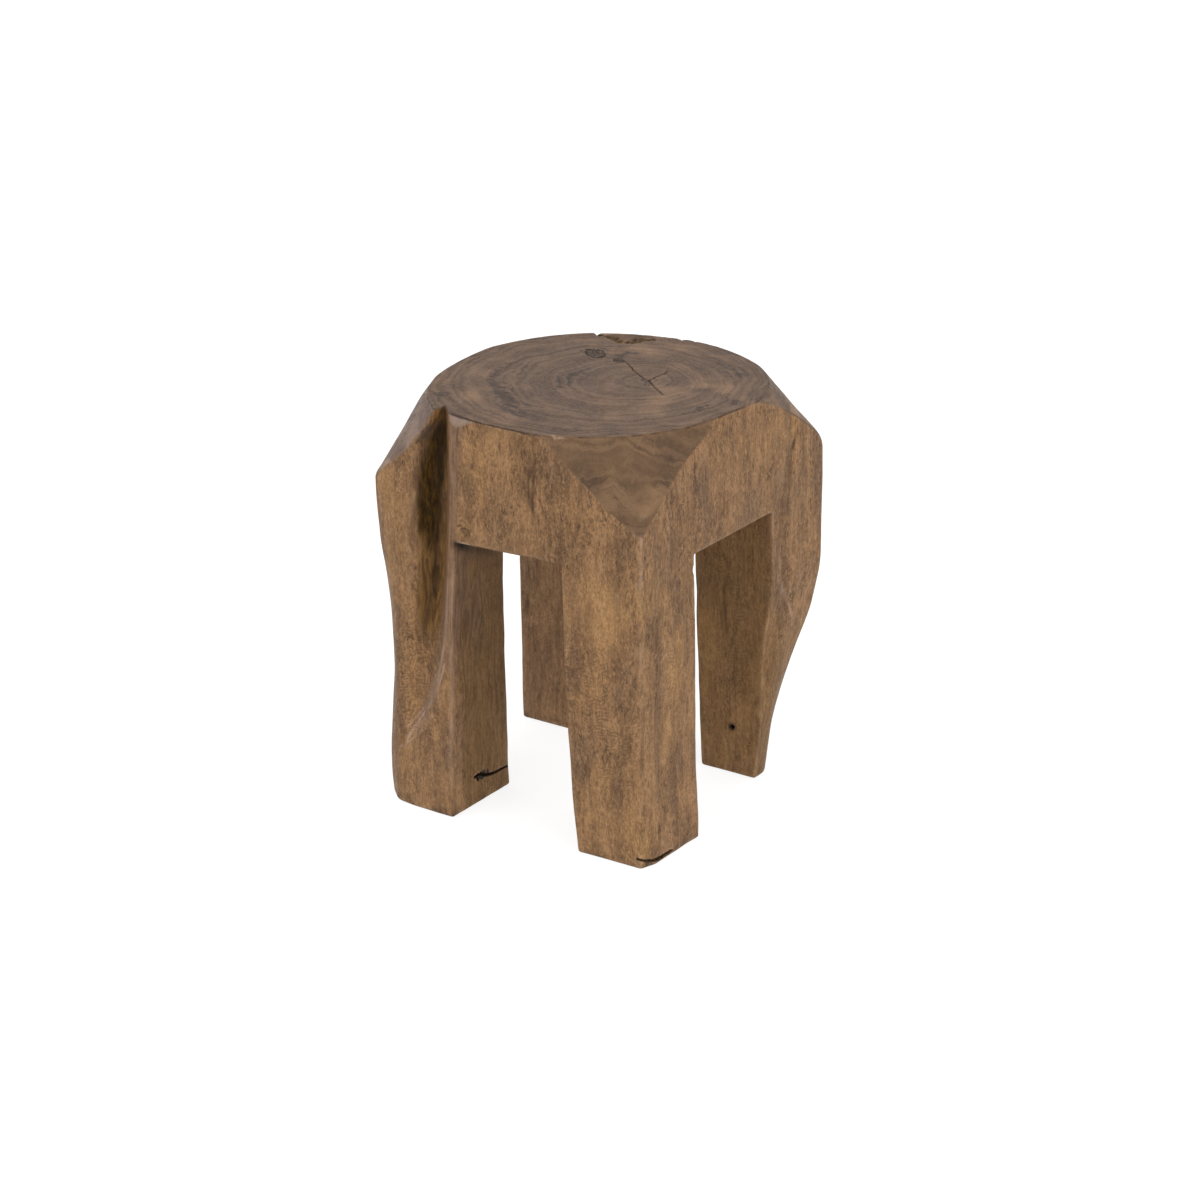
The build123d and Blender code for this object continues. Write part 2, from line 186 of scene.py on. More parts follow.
# ---------------------------------------------------------------------------------------------
# the log's outline, level by level
# ---------------------------------------------------------------------------------------------
# z; the left corner from the back-left face round to the front-left face: side, outermost, lobe, shoulder,
# hollow wall, hollow bottom, far wall, far shoulder, on the face
LEFT = [
    (0.8, [(-167.5, -136), (-163.5, -158.0), (-146, -172.5), (-136, -174.5), (-128, -175.6), (-120, -176.3), (-110, -176.5), (-96, -176.4), (-76, -176.0)]),
    (30.0, [(-168.2, -136), (-165.3, -159.0), (-146, -173.2), (-136, -174.6), (-128, -175.4), (-120, -176.0), (-110, -176.5), (-96, -176.4), (-76, -176.0)]),
    (55.0, [(-168.2, -136), (-165.4, -159.4), (-147, -172.4), (-141, -173.1), (-135, -173.6), (-129, -174.4), (-118, -175.9), (-98, -176.1), (-76, -175.8)]),
    (80.0, [(-168.0, -136), (-164.5, -158.4), (-147, -171.2), (-140, -171.1), (-133, -170.6), (-125, -171.2), (-115, -174.6), (-98, -175.6), (-76, -175.3)]),
    (110.0, [(-167.6, -136), (-162.8, -157.5), (-146, -170.0), (-137, -169.6), (-129, -166.7), (-119, -166.4), (-105, -172.8), (-92, -174.6), (-74, -174.6)]),
    (150.0, [(-167.2, -136), (-160.9, -155.8), (-146, -169.0), (-134, -169.6), (-125, -164.6), (-114, -161.8), (-98, -168.8), (-87, -172.6), (-72, -173.9)]),
    (200.0, [(-167.4, -136), (-161.9, -156.9), (-146, -170.0), (-130, -171.6), (-120, -164.2), (-109, -157.0), (-95, -162.8), (-81, -170.8), (-69, -173.3)]),
    (250.0, [(-168.0, -138), (-164.9, -160.1), (-147, -172.2), (-126, -174.4), (-116.5, -164.0), (-106, -152.6), (-91, -159.4), (-78.0, -169.9), (-66, -173.0)]),
    (300.0, [(-169.8, -140), (-170.0, -165.2), (-150, -173.8), (-121, -175.6), (-112.5, -163.0), (-102, -149.0), (-88, -157.2), (-75.5, -169.0), (-63, -172.6)]),
    (350.0, [(-170.6, -142), (-171.2, -169.0), (-153, -174.2), (-118, -175.2), (-110.0, -161.0), (-100.0, -147.0), (-86.5, -156.0), (-74.0, -168.6), (-61.5, -172.4)]),
    (400.0, [(-170.6, -142), (-171.2, -169.2), (-153, -174.2), (-116, -174.4), (-108.0, -159.6), (-98, -146.8), (-85.0, -156.0), (-73.0, -168.6), (-61, -172.3)]),
    (450.0, [(-170.2, -142), (-171.1, -169.0), (-153, -173.8), (-112, -173.6), (-104.0, -161.6), (-96, -151.5), (-84.5, -158.4), (-71.5, -169.2), (-60, -172.3)]),
]
# z, front corner
FRONT = [(0.8, 160.4, -163.8), (20, 161.0, -164.6), (47, 161.0, -164.9), (91, 161.0, -165.2), (140, 161.0, -165.6), (191, 161.0, -166.1), (248, 161.0, -166.6),
         (305, 161.0, -167.2), (363, 161.0, -168.0), (405, 158.8, -169.2), (430, 155.0, -170.5), (450, 144.0, -171.5)]
# z, then x, y of two more points on the front-right face: the front leg's foot spreads there
SPREAD = [(0.8, 166.8, -146, 167.4, -66), (20, 165.6, -146, 166.8, -65), (47, 163.8, -146, 165.2, -64), (91, 161.9, -146, 162.9, -63), (140, 161.3, -146, 162.1, -62),
          (191, 161.2, -146, 162.0, -61), (248, 161.25, -146, 162.25, -62), (305, 161.32, -146, 162.6, -62), (363, 161.34, -146, 162.62, -62),
          (405, 159.36, -146, 161.38, -62), (430, 156.04, -146, 159.6, -62), (450, 146.3, -146, 154.0, -62)]
# z; the right corner from the front-right face round to the back-right face
RIGHT = [
    (0.8, [(138.5, 88.5), (137.5, 107.5), (126.8, 126.8), (107.0, 140.5), (76, 146.5)]),
    (47.0, [(143.4, 88.0), (142.0, 109.0), (131.0, 131.5), (112.0, 145.0), (76, 151.0)]),
    (91.0, [(146.7, 87.0), (147.2, 110.0), (137.5, 140.5), (115.5, 152.4), (76, 156.0)]),
    (140.0, [(148.8, 86.0), (152.6, 112.0), (148.2, 152.5), (120.0, 160.5), (76, 161.5)]),
    (191.0, [(156.0, 85.0), (160.4, 116.0), (159.9, 165.9), (123.0, 168.2), (76, 166.6)]),
    (248.0, [(164.0, 84.0), (166.6, 118.0), (167.0, 169.4), (124.0, 169.7), (76, 167.6)]),
    (305.0, [(164.8, 82.0), (166.8, 118.0), (167.0, 168.9), (124.0, 169.7), (76, 168.0)]),
    (363.0, [(164.8, 80.0), (166.6, 118.0), (167.0, 168.5), (124.0, 169.6), (76, 169.2)]),
    (405.0, [(164.8, 80.0), (166.4, 118.0), (167.0, 168.2), (124.0, 169.8), (76, 169.8)]),
    (450.0, [(165.2, 60.0), (167.0, 118.0), (167.3, 168.6), (124.0, 169.8), (76, 170.0)]),
]
BACK = [(0.8, -163.0, 160.0), (47, -164.8, 161.5), (91, -166.3, 162.8), (140, -167.4, 164.0), (191, -168.0, 165.2), (248, -168.0, 166.2),
        (305, -168.0, 167.0), (363, -168.0, 168.4), (405, -167.8, 169.4), (450, -167.4, 169.8)]

NT, Z0, DZ = 3600, -6.0, 1.0
TABLE_Z = np.arange(Z0, 458.0, DZ)
ANGLES = np.arange(NT) * (2 * math.pi / NT) - math.pi


def outline_table():
    zs_l = [r[0] for r in LEFT]
    left = pchip(zs_l, np.array([np.ravel(r[1]) for r in LEFT]), TABLE_Z).reshape(len(TABLE_Z), -1, 2)
    zs_r = [r[0] for r in RIGHT]
    right = pchip(zs_r, np.array([np.ravel(r[1]) for r in RIGHT]), TABLE_Z).reshape(len(TABLE_Z), -1, 2)
    front = pchip([r[0] for r in FRONT], np.array([r[1:] for r in FRONT]), TABLE_Z)
    back = pchip([r[0] for r in BACK], np.array([r[1:] for r in BACK]), TABLE_Z)
    spread = pchip([r[0] for r in SPREAD], np.array([r[1:] for r in SPREAD]), TABLE_Z)
    table = np.empty((len(TABLE_Z), NT))
    for i in range(len(TABLE_Z)):
        l = np.vstack([catmull([(-168.0, -90.0), left[i][0], left[i][1]], 24)[:-1], catmull(left[i][1:], 24)])
        r = np.vstack([catmull(right[i][:3], 24)[:-1], catmull(right[i][2:], 24)])
        line = lambda a, b, n: a + (b - a) * np.linspace(0, 1, n, endpoint=False)[:, None]
        near, far = spread[i][:2], spread[i][2:]
        ring = np.vstack([l[:-1], line(l[-1], front[i], 60), line(front[i], near, 12), line(near, far, 40), line(far, r[0], 40), r[:-1], line(r[-1], back[i], 60), line(back[i], l[0], 60)])
        a = np.arctan2(ring[:, 1], ring[:, 0])
        d = np.hypot(ring[:, 0], ring[:, 1])
        # walk round once, keeping angles rising, so that a steep wall never folds back
        a = np.unwrap(a)
        a = np.maximum.accumulate(a)
        keep = np.concatenate([[True], np.diff(a) > 1e-5])
        a, d = a[keep], d[keep]
        a = np.concatenate([a[:-1] - 2 * math.pi, a, a[1:] + 2 * math.pi])
        d = np.concatenate([d[:-1], d, d[1:]])
        table[i] = np.interp(ANGLES, a, d)
    return table


R_TABLE = outline_table()
R_TABLE = blur(R_TABLE, 4.0, 1, True)
R_TABLE = blur(R_TABLE, 2.0, 0, False)
_rt = (np.roll(R_TABLE, -1, 1) - np.roll(R_TABLE, 1, 1)) / (2 * 2 * math.pi / NT)
_rz = np.gradient(R_TABLE, DZ, axis=0)
C_TABLE = 1.0 / np.sqrt(1 + (_rt / R_TABLE) ** 2 + _rz**2)
C_TABLE = blur(C_TABLE, 6.0, 1, True)
R_TABLE = R_TABLE.astype(np.float32)
C_TABLE = C_TABLE.astype(np.float32)


def lookup(table, row, col):
    i = np.clip(row.astype(np.int32), 0, table.shape[0] - 2)
    j = col.astype(np.int32) % NT
    j2 = (j + 1) % NT
    u = np.clip(row - i, 0, 1)
    v = col - np.floor(col)
    return (table[i, j] * (1 - v) + table[i, j2] * v) * (1 - u) + (table[i + 1, j] * (1 - v) + table[i + 1, j2] * v) * u


def log_distance(x, y, z):
    row = (z - Z0) / DZ
    col = (np.arctan2(y, x) + math.pi) * (NT / (2 * math.pi))
    return (np.hypot(x, y) - lookup(R_TABLE, row, col)) * lookup(C_TABLE, row, col)


# ---------------------------------------------------------------------------------------------
# corner facets: z, then the plan points where each facet meets the faces beside it
# ---------------------------------------------------------------------------------------------
FACETS = [
    (376.0, [((138.0, -168.8), (160.7, -149.5)), ((166.9, 162.0), (160.5, 169.6)), ((-149.0, 168.0), (-167.0, 149.0)), ((-170.4, -147.0), (-155.0, -172.6))]),
    (390.0, [((115.0, -169.6), (160.3, -130.0)), ((166.4, 147.0), (143.0, 169.4)), ((-130.0, 168.2), (-167.0, 131.0)), ((-169.4, -129.0), (-141.0, -173.2))]),
    (408.0, [((91.0, -170.4), (159.9, -108.0)), ((165.9, 122.0), (114.0, 169.4)), ((-105.0, 168.4), (-166.8, 108.0)), ((-168.0, -104.0), (-122.0, -173.2))]),
    (426.0, [((67.0, -171.2), (159.4, -76.0)), ((165.4, 93.0), (85.0, 169.6)), ((-78.0, 168.4), (-166.6, 84.0)), ((-167.2, -78.0), (-105.0, -172.8))]),
    (440.0, [((50.0, -171.8), (159.0, -41.0)), ((165.0, 62.0), (52.0, 169.8)), ((-50.0, 168.4), (-166.4, 58.0)), ((-166.6, -53.0), (-94.0, -172.4))]),
    (450.0, [((36.0, -172.4), (158.8, -8.0)), ((164.2, 30.0), (16.0, 169.8)), ((-20.0, 168.4), (-166.2, 30.0)), ((-166.0, -26.0), (-86.0, -172.0))]),
]
# how far each facet swells over its chord, level by level
FACET_RISE = [
    (0.05, 0.07, 0.09, 0.11, 0.14, 0.163),
    (0.0, 0.03, 0.060, 0.095, 0.140, 0.187),
    (0.05, 0.07, 0.09, 0.105, 0.13, 0.160),
    (0.105, 0.108, 0.115, 0.12, 0.12, 0.115),
]
FACET_TIP = (232.3, 236.3, 236.6, 233.8)  # how far out from the axis each facet's surface is at TIP_Z
_fz = np.arange(340.0, 458.0, 0.5)


def facet_rows(i):
    zs = np.array([r[0] for r in FACETS])
    a = np.array([r[1][i][0] for r in FACETS])
    b = np.array([r[1][i][1] for r in FACETS])
    t = b - a
    chord = np.linalg.norm(t, axis=1)
    t = t / chord[:, None]
    n = np.stack([t[:, 1], -t[:, 0]], 1)
    mid = (a + b) / 2
    angle = np.unwrap(np.arctan2(n[:, 1], n[:, 0]))
    off = (mid * n).sum(1)
    side = (mid * t).sum(1)
    rise = np.array(FACET_RISE[i])
    zs2 = np.concatenate([[TIP_Z], zs, [458.0]])
    grow = lambda v: v[-1] + (v[-1] - v[-2]) * 0.8
    crown = np.concatenate([[FACET_TIP[i]], off + rise * chord, [grow(off + rise * chord)]])
    angle = np.concatenate([[angle[0]], angle, [grow(angle)]])
    chord = np.concatenate([[3.0], chord, [grow(chord)]])
    rise = np.concatenate([[rise[0]], rise, [grow(rise)]])
    side = np.concatenate([[side[0]], side, [grow(side)]])
    rows = pchip(zs2, np.stack([angle, chord, crown, side, rise], 1), _fz)
    below = _fz < TIP_Z
    slope = (crown[1] - crown[0]) / (zs2[1] - zs2[0])
    rows[below, 2] = crown[0] + slope * (_fz[below] - TIP_Z)
    return np.stack([blur(rows[:, k], 5.0, 0, False) if k else rows[:, k] for k in range(5)], 1)


FACET_ROWS = [facet_rows(i) for i in range(4)]


def facet_distance(i, x, y, z):
    rows = FACET_ROWS[i]
    f = np.clip((z - _fz[0]) / 0.5, 0, len(_fz) - 1.001)
    k = f.astype(np.int32)
    u = f - k
    v = rows[k] * (1 - u)[:, None] + rows[k + 1] * u[:, None]
    below = np.minimum(z - _fz[0], 0.0)
    angle, chord, crown, side, rise = v[:, 0], v[:, 1], v[:, 2] - 1.1 * below, v[:, 3], v[:, 4]
    nx, ny = np.cos(angle), np.sin(angle)
    w = x * nx + y * ny - crown
    s = -x * ny + y * nx - side
    half = chord / 2
    over = np.maximum(np.abs(s) - half, 0)
    inside = np.minimum(np.abs(s), half)
    surface = -rise * chord * (inside / half) ** 2 - 4 * rise * over
    lean = (rows[k + 1, 2] - rows[k, 2]) / 0.5
    bend = 8 * rise * inside / chord
    return (w - surface) / np.sqrt(1 + lean**2 + np.minimum(bend, 4 * rise) ** 2)


# ---------------------------------------------------------------------------------------------
# the two tunnels
# ---------------------------------------------------------------------------------------------
ALONG_Y_FRONT = [(-70.0, -20), (-70.5, 100), (-70.5, 190), (-66.0, 311), (65.5, 316), (70.0, 178), (75.5, 100), (86.0, -5)]
ALONG_Y_BACK = [(-74.0, -20), (-74.0, 100), (-74.0, 190), (-73.0, 314), (64.0, 316), (63.5, 178), (63.5, 80), (64.0, -5)]
ALONG_X_LEFT = [(-76.0, -20), (-81.5, 100), (-85.0, 180), (-90.5, 315), (73.0, 315), (78.5, 190), (78.5, 100), (77.0, -5)]
ALONG_X_RIGHT = [(-64.5, -20), (-63.4, 100), (-64.6, 200), (-71.0, 318), (70.5, 319), (79.0, 190), (84.0, 96), (90.0, -5)]
_tz = np.arange(-8.0, 330.0, 1.0)


def wall_rows(near, far):
    rows = []
    for poly in (near, far):
        low = sorted(poly[:4], key=lambda q: q[1])
        high = sorted(poly[4:], key=lambda q: q[1])
        rows.append(blur(pchip([q[1] for q in low], [q[0] for q in low], _tz), 6.0, 0, False))
        rows.append(blur(pchip([q[1] for q in high], [q[0] for q in high], _tz), 6.0, 0, False))
    return np.stack(rows, 1)


WALLS_Y = wall_rows(ALONG_Y_FRONT, ALONG_Y_BACK)
WALLS_X = wall_rows(ALONG_X_LEFT, ALONG_X_RIGHT)


def tunnel(rows, near, far, across, along, z, wobble):
    f = np.clip(z - _tz[0], 0, len(_tz) - 1.001)
    k = f.astype(np.int32)
    u = (f - k)[:, None]
    v = rows[k] * (1 - u) + rows[k + 1] * u
    t = (along + 200.0) / 400.0
    low = v[:, 0] * (1 - t) + v[:, 2] * t
    high = v[:, 1] * (1 - t) + v[:, 3] * t
    ceil_near = near[3][1] + (near[4][1] - near[3][1]) * np.clip((across - near[3][0]) / (near[4][0] - near[3][0]), 0, 1)
    ceil_far = far[3][1] + (far[4][1] - far[3][1]) * np.clip((across - far[3][0]) / (far[4][0] - far[3][0]), 0, 1)
    top = ceil_near * (1 - t) + ceil_far * t
    sides = np.maximum(low - across, across - high) - wobble
    return smax(sides, z - top - wobble, 3.0)


# ---------------------------------------------------------------------------------------------
# seat: a height table on a fine grid, with the bark pocket, cracks and worn rim
# ---------------------------------------------------------------------------------------------
POCKET = [(-99, 131), (-94, 126.5), (-88, 129), (-77, 124), (-65, 120), (-55, 120.6), (-48, 123.4), (-44, 133), (-39, 145), (-30, 153), (-22, 158), (-4, 172)]
KNOT = [(-76, 80), (-71, 87), (-63, 88), (-56, 83), (-50, 76), (-49, 66), (-55, 60), (-63, 62), (-71, 69)]
KNOT_SMALL = [(-36, 72), (-31, 76), (-25, 74), (-21, 68), (-24, 62), (-31, 63)]
CHECK_STEM = [(-19.5, 69.5), (-8, 60.5), (4, 49.5), (17, 40.5), (29, 32.5), (36, 31)]
CHECK_ARM_A = [(36, 31), (35, 44), (36.5, 58), (34, 70)]
CHECK_ARM_B = [(36, 31), (44, 24), (56, 14), (73, 2)]


def blob(poly, seed, amount):
    """Rounded, irregular version of a closed outline."""
    poly = np.asarray(poly, float)
    c = poly.mean(0)
    ring = catmull(np.vstack([poly[-2:], poly, poly[:2]]), 10)
    a = np.unwrap(np.arctan2(ring[:, 1] - c[1], ring[:, 0] - c[0]))
    d = np.hypot(ring[:, 0] - c[0], ring[:, 1] - c[1])
    if a[-1] < a[0]:
        a, d = a[::-1], d[::-1]
    t = np.linspace(0, 2 * math.pi, 72, endpoint=False)
    start = a[20]
    keep = (a >= start - 1e-9) & (a <= start + 2 * math.pi)
    rr = np.interp(start + t, np.maximum.accumulate(a[keep]), d[keep])
    r = np.random.default_rng(seed)
    for k in range(2, 9):
        rr = rr + amount / k * r.normal() * np.sin(k * t + r.uniform(0, 6.28))
    return np.stack([c[0] + rr * np.cos(start + t), c[1] + rr * np.sin(start + t)], 1)


GP = 0.5
GX = np.arange(-190, 190 + GP, GP)
KNOT_EDGE = blob(KNOT, 8, 1.1)
KNOT_SMALL_EDGE = blob(KNOT_SMALL, 9, 0.8)
SEAT_WAVE = waves(11, 14, 24, 90)
FINE_WAVE = waves(12, 18, 3.5, 12)


def jitter(path, step, amount, seed):
    """The same line with more points, each moved a little, as a real crack wanders."""
    path = np.asarray(path, float)
    r = np.random.default_rng(seed)
    out = []
    for a, b in zip(path[:-1], path[1:]):
        n = max(1, int(np.linalg.norm(b - a) / step))
        for i in range(n):
            q = a + (b - a) * i / n
            if i or len(out):
                q = q + r.normal(size=q.shape) * amount * (q.shape[0] == 2 or 1)
            out.append(q)
    out.append(path[-1])
    return np.array(out)


def signed_polygon(px, py, poly):
    """Distance to a closed outline, negative inside."""
    p = np.stack([px, py], 1)
    d, _ = to_path(p, list(poly) + [poly[0]])
    return np.where(in_polygon(px, py, poly), -d, d)


def seat_table():
    gx, gy = np.meshgrid(GX, GX, indexing="ij")
    px, py = gx.ravel(), gy.ravel()
    p3 = np.stack([px, py, np.zeros_like(px)], 1)
    h = np.full(px.shape, HEIGHT) - 0.16 - 0.09 * (1 + SEAT_WAVE(p3))
    # the seat is a touch lower towards its rim, and dips at the front-left edge
    h -= 0.30 * smooth(135, 172, np.hypot(px, py)) * smooth(60, -40, py)
    h -= 1.0 * np.exp(-(((px + 5) / 40) ** 2 + ((py + 178) / 13) ** 2))
    # bark pocket: a ledge below the seat, sloping out, with a deep crack under the seat's edge
    ledge = POCKET + [(2, 195), (-118, 195), (-112, 150)]
    near = (px > -135) & (px < 25) & (py > 95)
    q = np.stack([px, py], 1)[near]
    d = signed_polygon(q[:, 0], q[:, 1], ledge) + 0.9 * FINE_WAVE(p3[near] * 1.0)
    edge, along = to_path(q, POCKET)
    rim = np.maximum(170.5 - np.hypot(q[:, 0], q[:, 1]), 0.0)
    t = edge / np.maximum(edge + rim, 1.0)
    floor = (5.2 + 0.9 * FINE_WAVE(p3[near] * 0.7 + 31.0) + 1.3 * SEAT_WAVE(p3[near] * 2.4)) * (1 - t) ** 1.2 + 0.15
    crack = (8.5 * smooth(0.0, 0.08, along) * smooth(1.0, 0.62, along) + 2.0) * np.exp(-((edge - 2.2) / 2.2) ** 2)
    drop = (np.maximum(floor, 0.1) + crack * smooth(0.0, 4.0, rim)) * smooth(1.0, -1.2, d)
    h[near] -= drop
    # fine notch where the crack reaches the rim
    notch, _ = to_path(q, [(-94, 129), (-101, 134), (-112, 144)])
    h[near] -= 4.6 * np.exp(-(notch / 2.0) ** 2) * (np.hypot(q[:, 0], q[:, 1]) > 150)
    notch, _ = to_path(q, [(2, 166), (3, 180)])
    h[near] -= 0.6 * np.exp(-(notch / 1.6) ** 2)
    # recesses for the fillers
    for poly, deep in ((KNOT_EDGE, 3.0), (KNOT_SMALL_EDGE, 3.0)):
        c = np.mean(poly, 0)
        m = np.hypot(px - c[0], py - c[1]) < 34
        q = np.stack([px, py], 1)[m]
        d = signed_polygon(q[:, 0], q[:, 1], poly)
        h[m] -= deep * smooth(0.35, -0.55, d)
    for path, seed in ((CHECK_STEM, 3), (CHECK_ARM_A, 4), (CHECK_ARM_B, 5)):
        path = jitter(path, 4.0, 0.28, seed)
        c = path.mean(0)
        m = np.hypot(px - c[0], py - c[1]) < 60
        q = np.stack([px, py], 1)[m]
        d, along = to_path(q, path)
        width = 0.75 * (0.35 + 0.65 * smooth(1.02, 0.75, along)) if seed != 3 else 0.75 * (0.75 + 0.25 * smooth(0, 0.3, along))
        h[m] -= 2.2 * smooth(width + 0.4, width - 0.4, d)
    return h.reshape(gx.shape)


SEAT = seat_table()
_sx, _sy = np.gradient(SEAT, GP)
SEAT_C = (1.0 / np.sqrt(1 + np.minimum(_sx**2 + _sy**2, 16.0))).astype(np.float32)
SEAT = SEAT.astype(np.float32)


def grid_look(table, x, y):
    u = np.clip((x - GX[0]) / GP, 0, len(GX) - 1.001)
    v = np.clip((y - GX[0]) / GP, 0, len(GX) - 1.001)
    i, j = u.astype(np.int32), v.astype(np.int32)
    u, v = u - i, v - j
    return (table[i, j] * (1 - v) + table[i, j + 1] * v) * (1 - u) + (table[i + 1, j] * (1 - v) + table[i + 1, j + 1] * v) * u


# ---------------------------------------------------------------------------------------------
# cracks, dents and other things that happened to the log
# ---------------------------------------------------------------------------------------------
# open cracks: a line in space and the radius of the cut along it
CRACKS = [
    (jitter([(-71, -137, 33.0), (-71, -130, 33.4), (-71, -123, 32), (-71, -117, 28), (-71, -108, 25.4), (-71, -97, 23.8), (-71, -86, 23.8), (-72, -76, 23.2)], 5, 0.3, 21), 1.7, 0.8),
    (jitter([(-71, -131.5, 34.0), (-71, -130.5, 27.5)], 3, 0.3, 22), 1.8, 1.2),
    (jitter([(-71, -126, 33.5), (-71, -121, 29.5), (-71, -118, 28)], 3, 0.3, 23), 1.5, 1.0),
]
# thin painted marks that need a fine mesh under them: path, reach, edge length
THIN = [
    ([(160.8, -166, 390), (160.8, -166, 176)], 4.0, 1.8),
    ([(46, -165, 449), (72, -160, 449)], 4.0, 1.4),
    ([(-53, -172, 330), (-53, -172, 319)], 9.0, 1.4),
    ([(-66.5, -172, 309), (-67, -112, 284)], 11.0, 2.4),
    ([(-71, -134, 30), (-71, -110, 28)], 7.0, 1.4),
    ([(-68, -167, 312), (-30, -166, 312)], 3.5, 1.4),
    ([(-82, -168, 174), (-99, -166, 126), (-116, -168, 103), (-140, -170, 62)], 9.0, 2.2),
    ([(167, 112, 410), (167, 104, 366), (167, 96, 350), (166, 93, 325)], 6.0, 2.0),
]
DENT_WAVE = waves(31, 16, 28, 85, (1, 1, 1.8))
TOOL_WAVE = waves(32, 14, 9, 26, (1, 1, 3.0))
BARK_WAVE = waves(33, 18, 4, 14, (1, 1, 3.2))
FOOT_WAVE = waves(34, 10, 18, 60)

# z and x of the lobe's edge beside the upper end of the natural hollow
CLOSING = np.array([(388, -131), (398, -124), (408, -116), (418, -109.0), (428, -102.5), (438, -97.0), (450, -93.0)])

FLUTE = [(170, 100, 446), (170, 102, 420), (169, 107, 392), (168, 104, 368), (168, 88, 335), (167, 84, 300), (166, 90, 255), (163, 99, 223), (154, 116, 188), (150, 126, 160)]
FOLD = [(166, 99, 226), (160, 106, 206), (153, 117, 186), (147, 128, 168)]
BACK_HOLLOW = [(470, -66, 202, 30), (440, -65, 198, 30), (420, -63, 191, 30), (380, -59, 191, 29), (345, -55, 196, 28), (315, -52, 203, 28), (270, -48, 215, 26)]
_bh = np.array(sorted(BACK_HOLLOW))

CHIP = [(-168, 12.2), (-160, 8.4), (-152, 5.4), (-143, 3.6), (-131, 2.7), (-121, 2.7), (-113, 4.4), (-118, 6.6), (-129, 6.6), (-140, 7.2), (-150, 7.8), (-158, 10.0), (-166, 14.0)]

# small dents along the worn corners: centre, radius, depth
rng = np.random.default_rng(77)
NICKS = []
for k in range(9):
    zz = rng.uniform(20, 345)
    NICKS.append(((161.5, -168.0, zz), rng.uniform(2.5, 6.0), rng.uniform(0.3, 1.0)))
for k in range(5):
    zz = rng.uniform(20, 345)
    NICKS.append(((-165.5, 166.5, zz), rng.uniform(3, 7), rng.uniform(0.4, 1.1)))
NICKS += [((161.5, -77.5, 300.0), 4.5, 2.0), ((161.0, -79.5, 309.0), 3.5, 1.6), ((-52, -176, 327), 5.0, 0.6),
          ((66.0, -170.0, 316.0), 4.0, 0.8), ((30.0, -172.5, 314.5), 6.0, 0.7), ((118.0, 166.0, 452.0), 4.0, 0.9), ((159.0, 40.0, 452.0), 4.0, 0.8)]


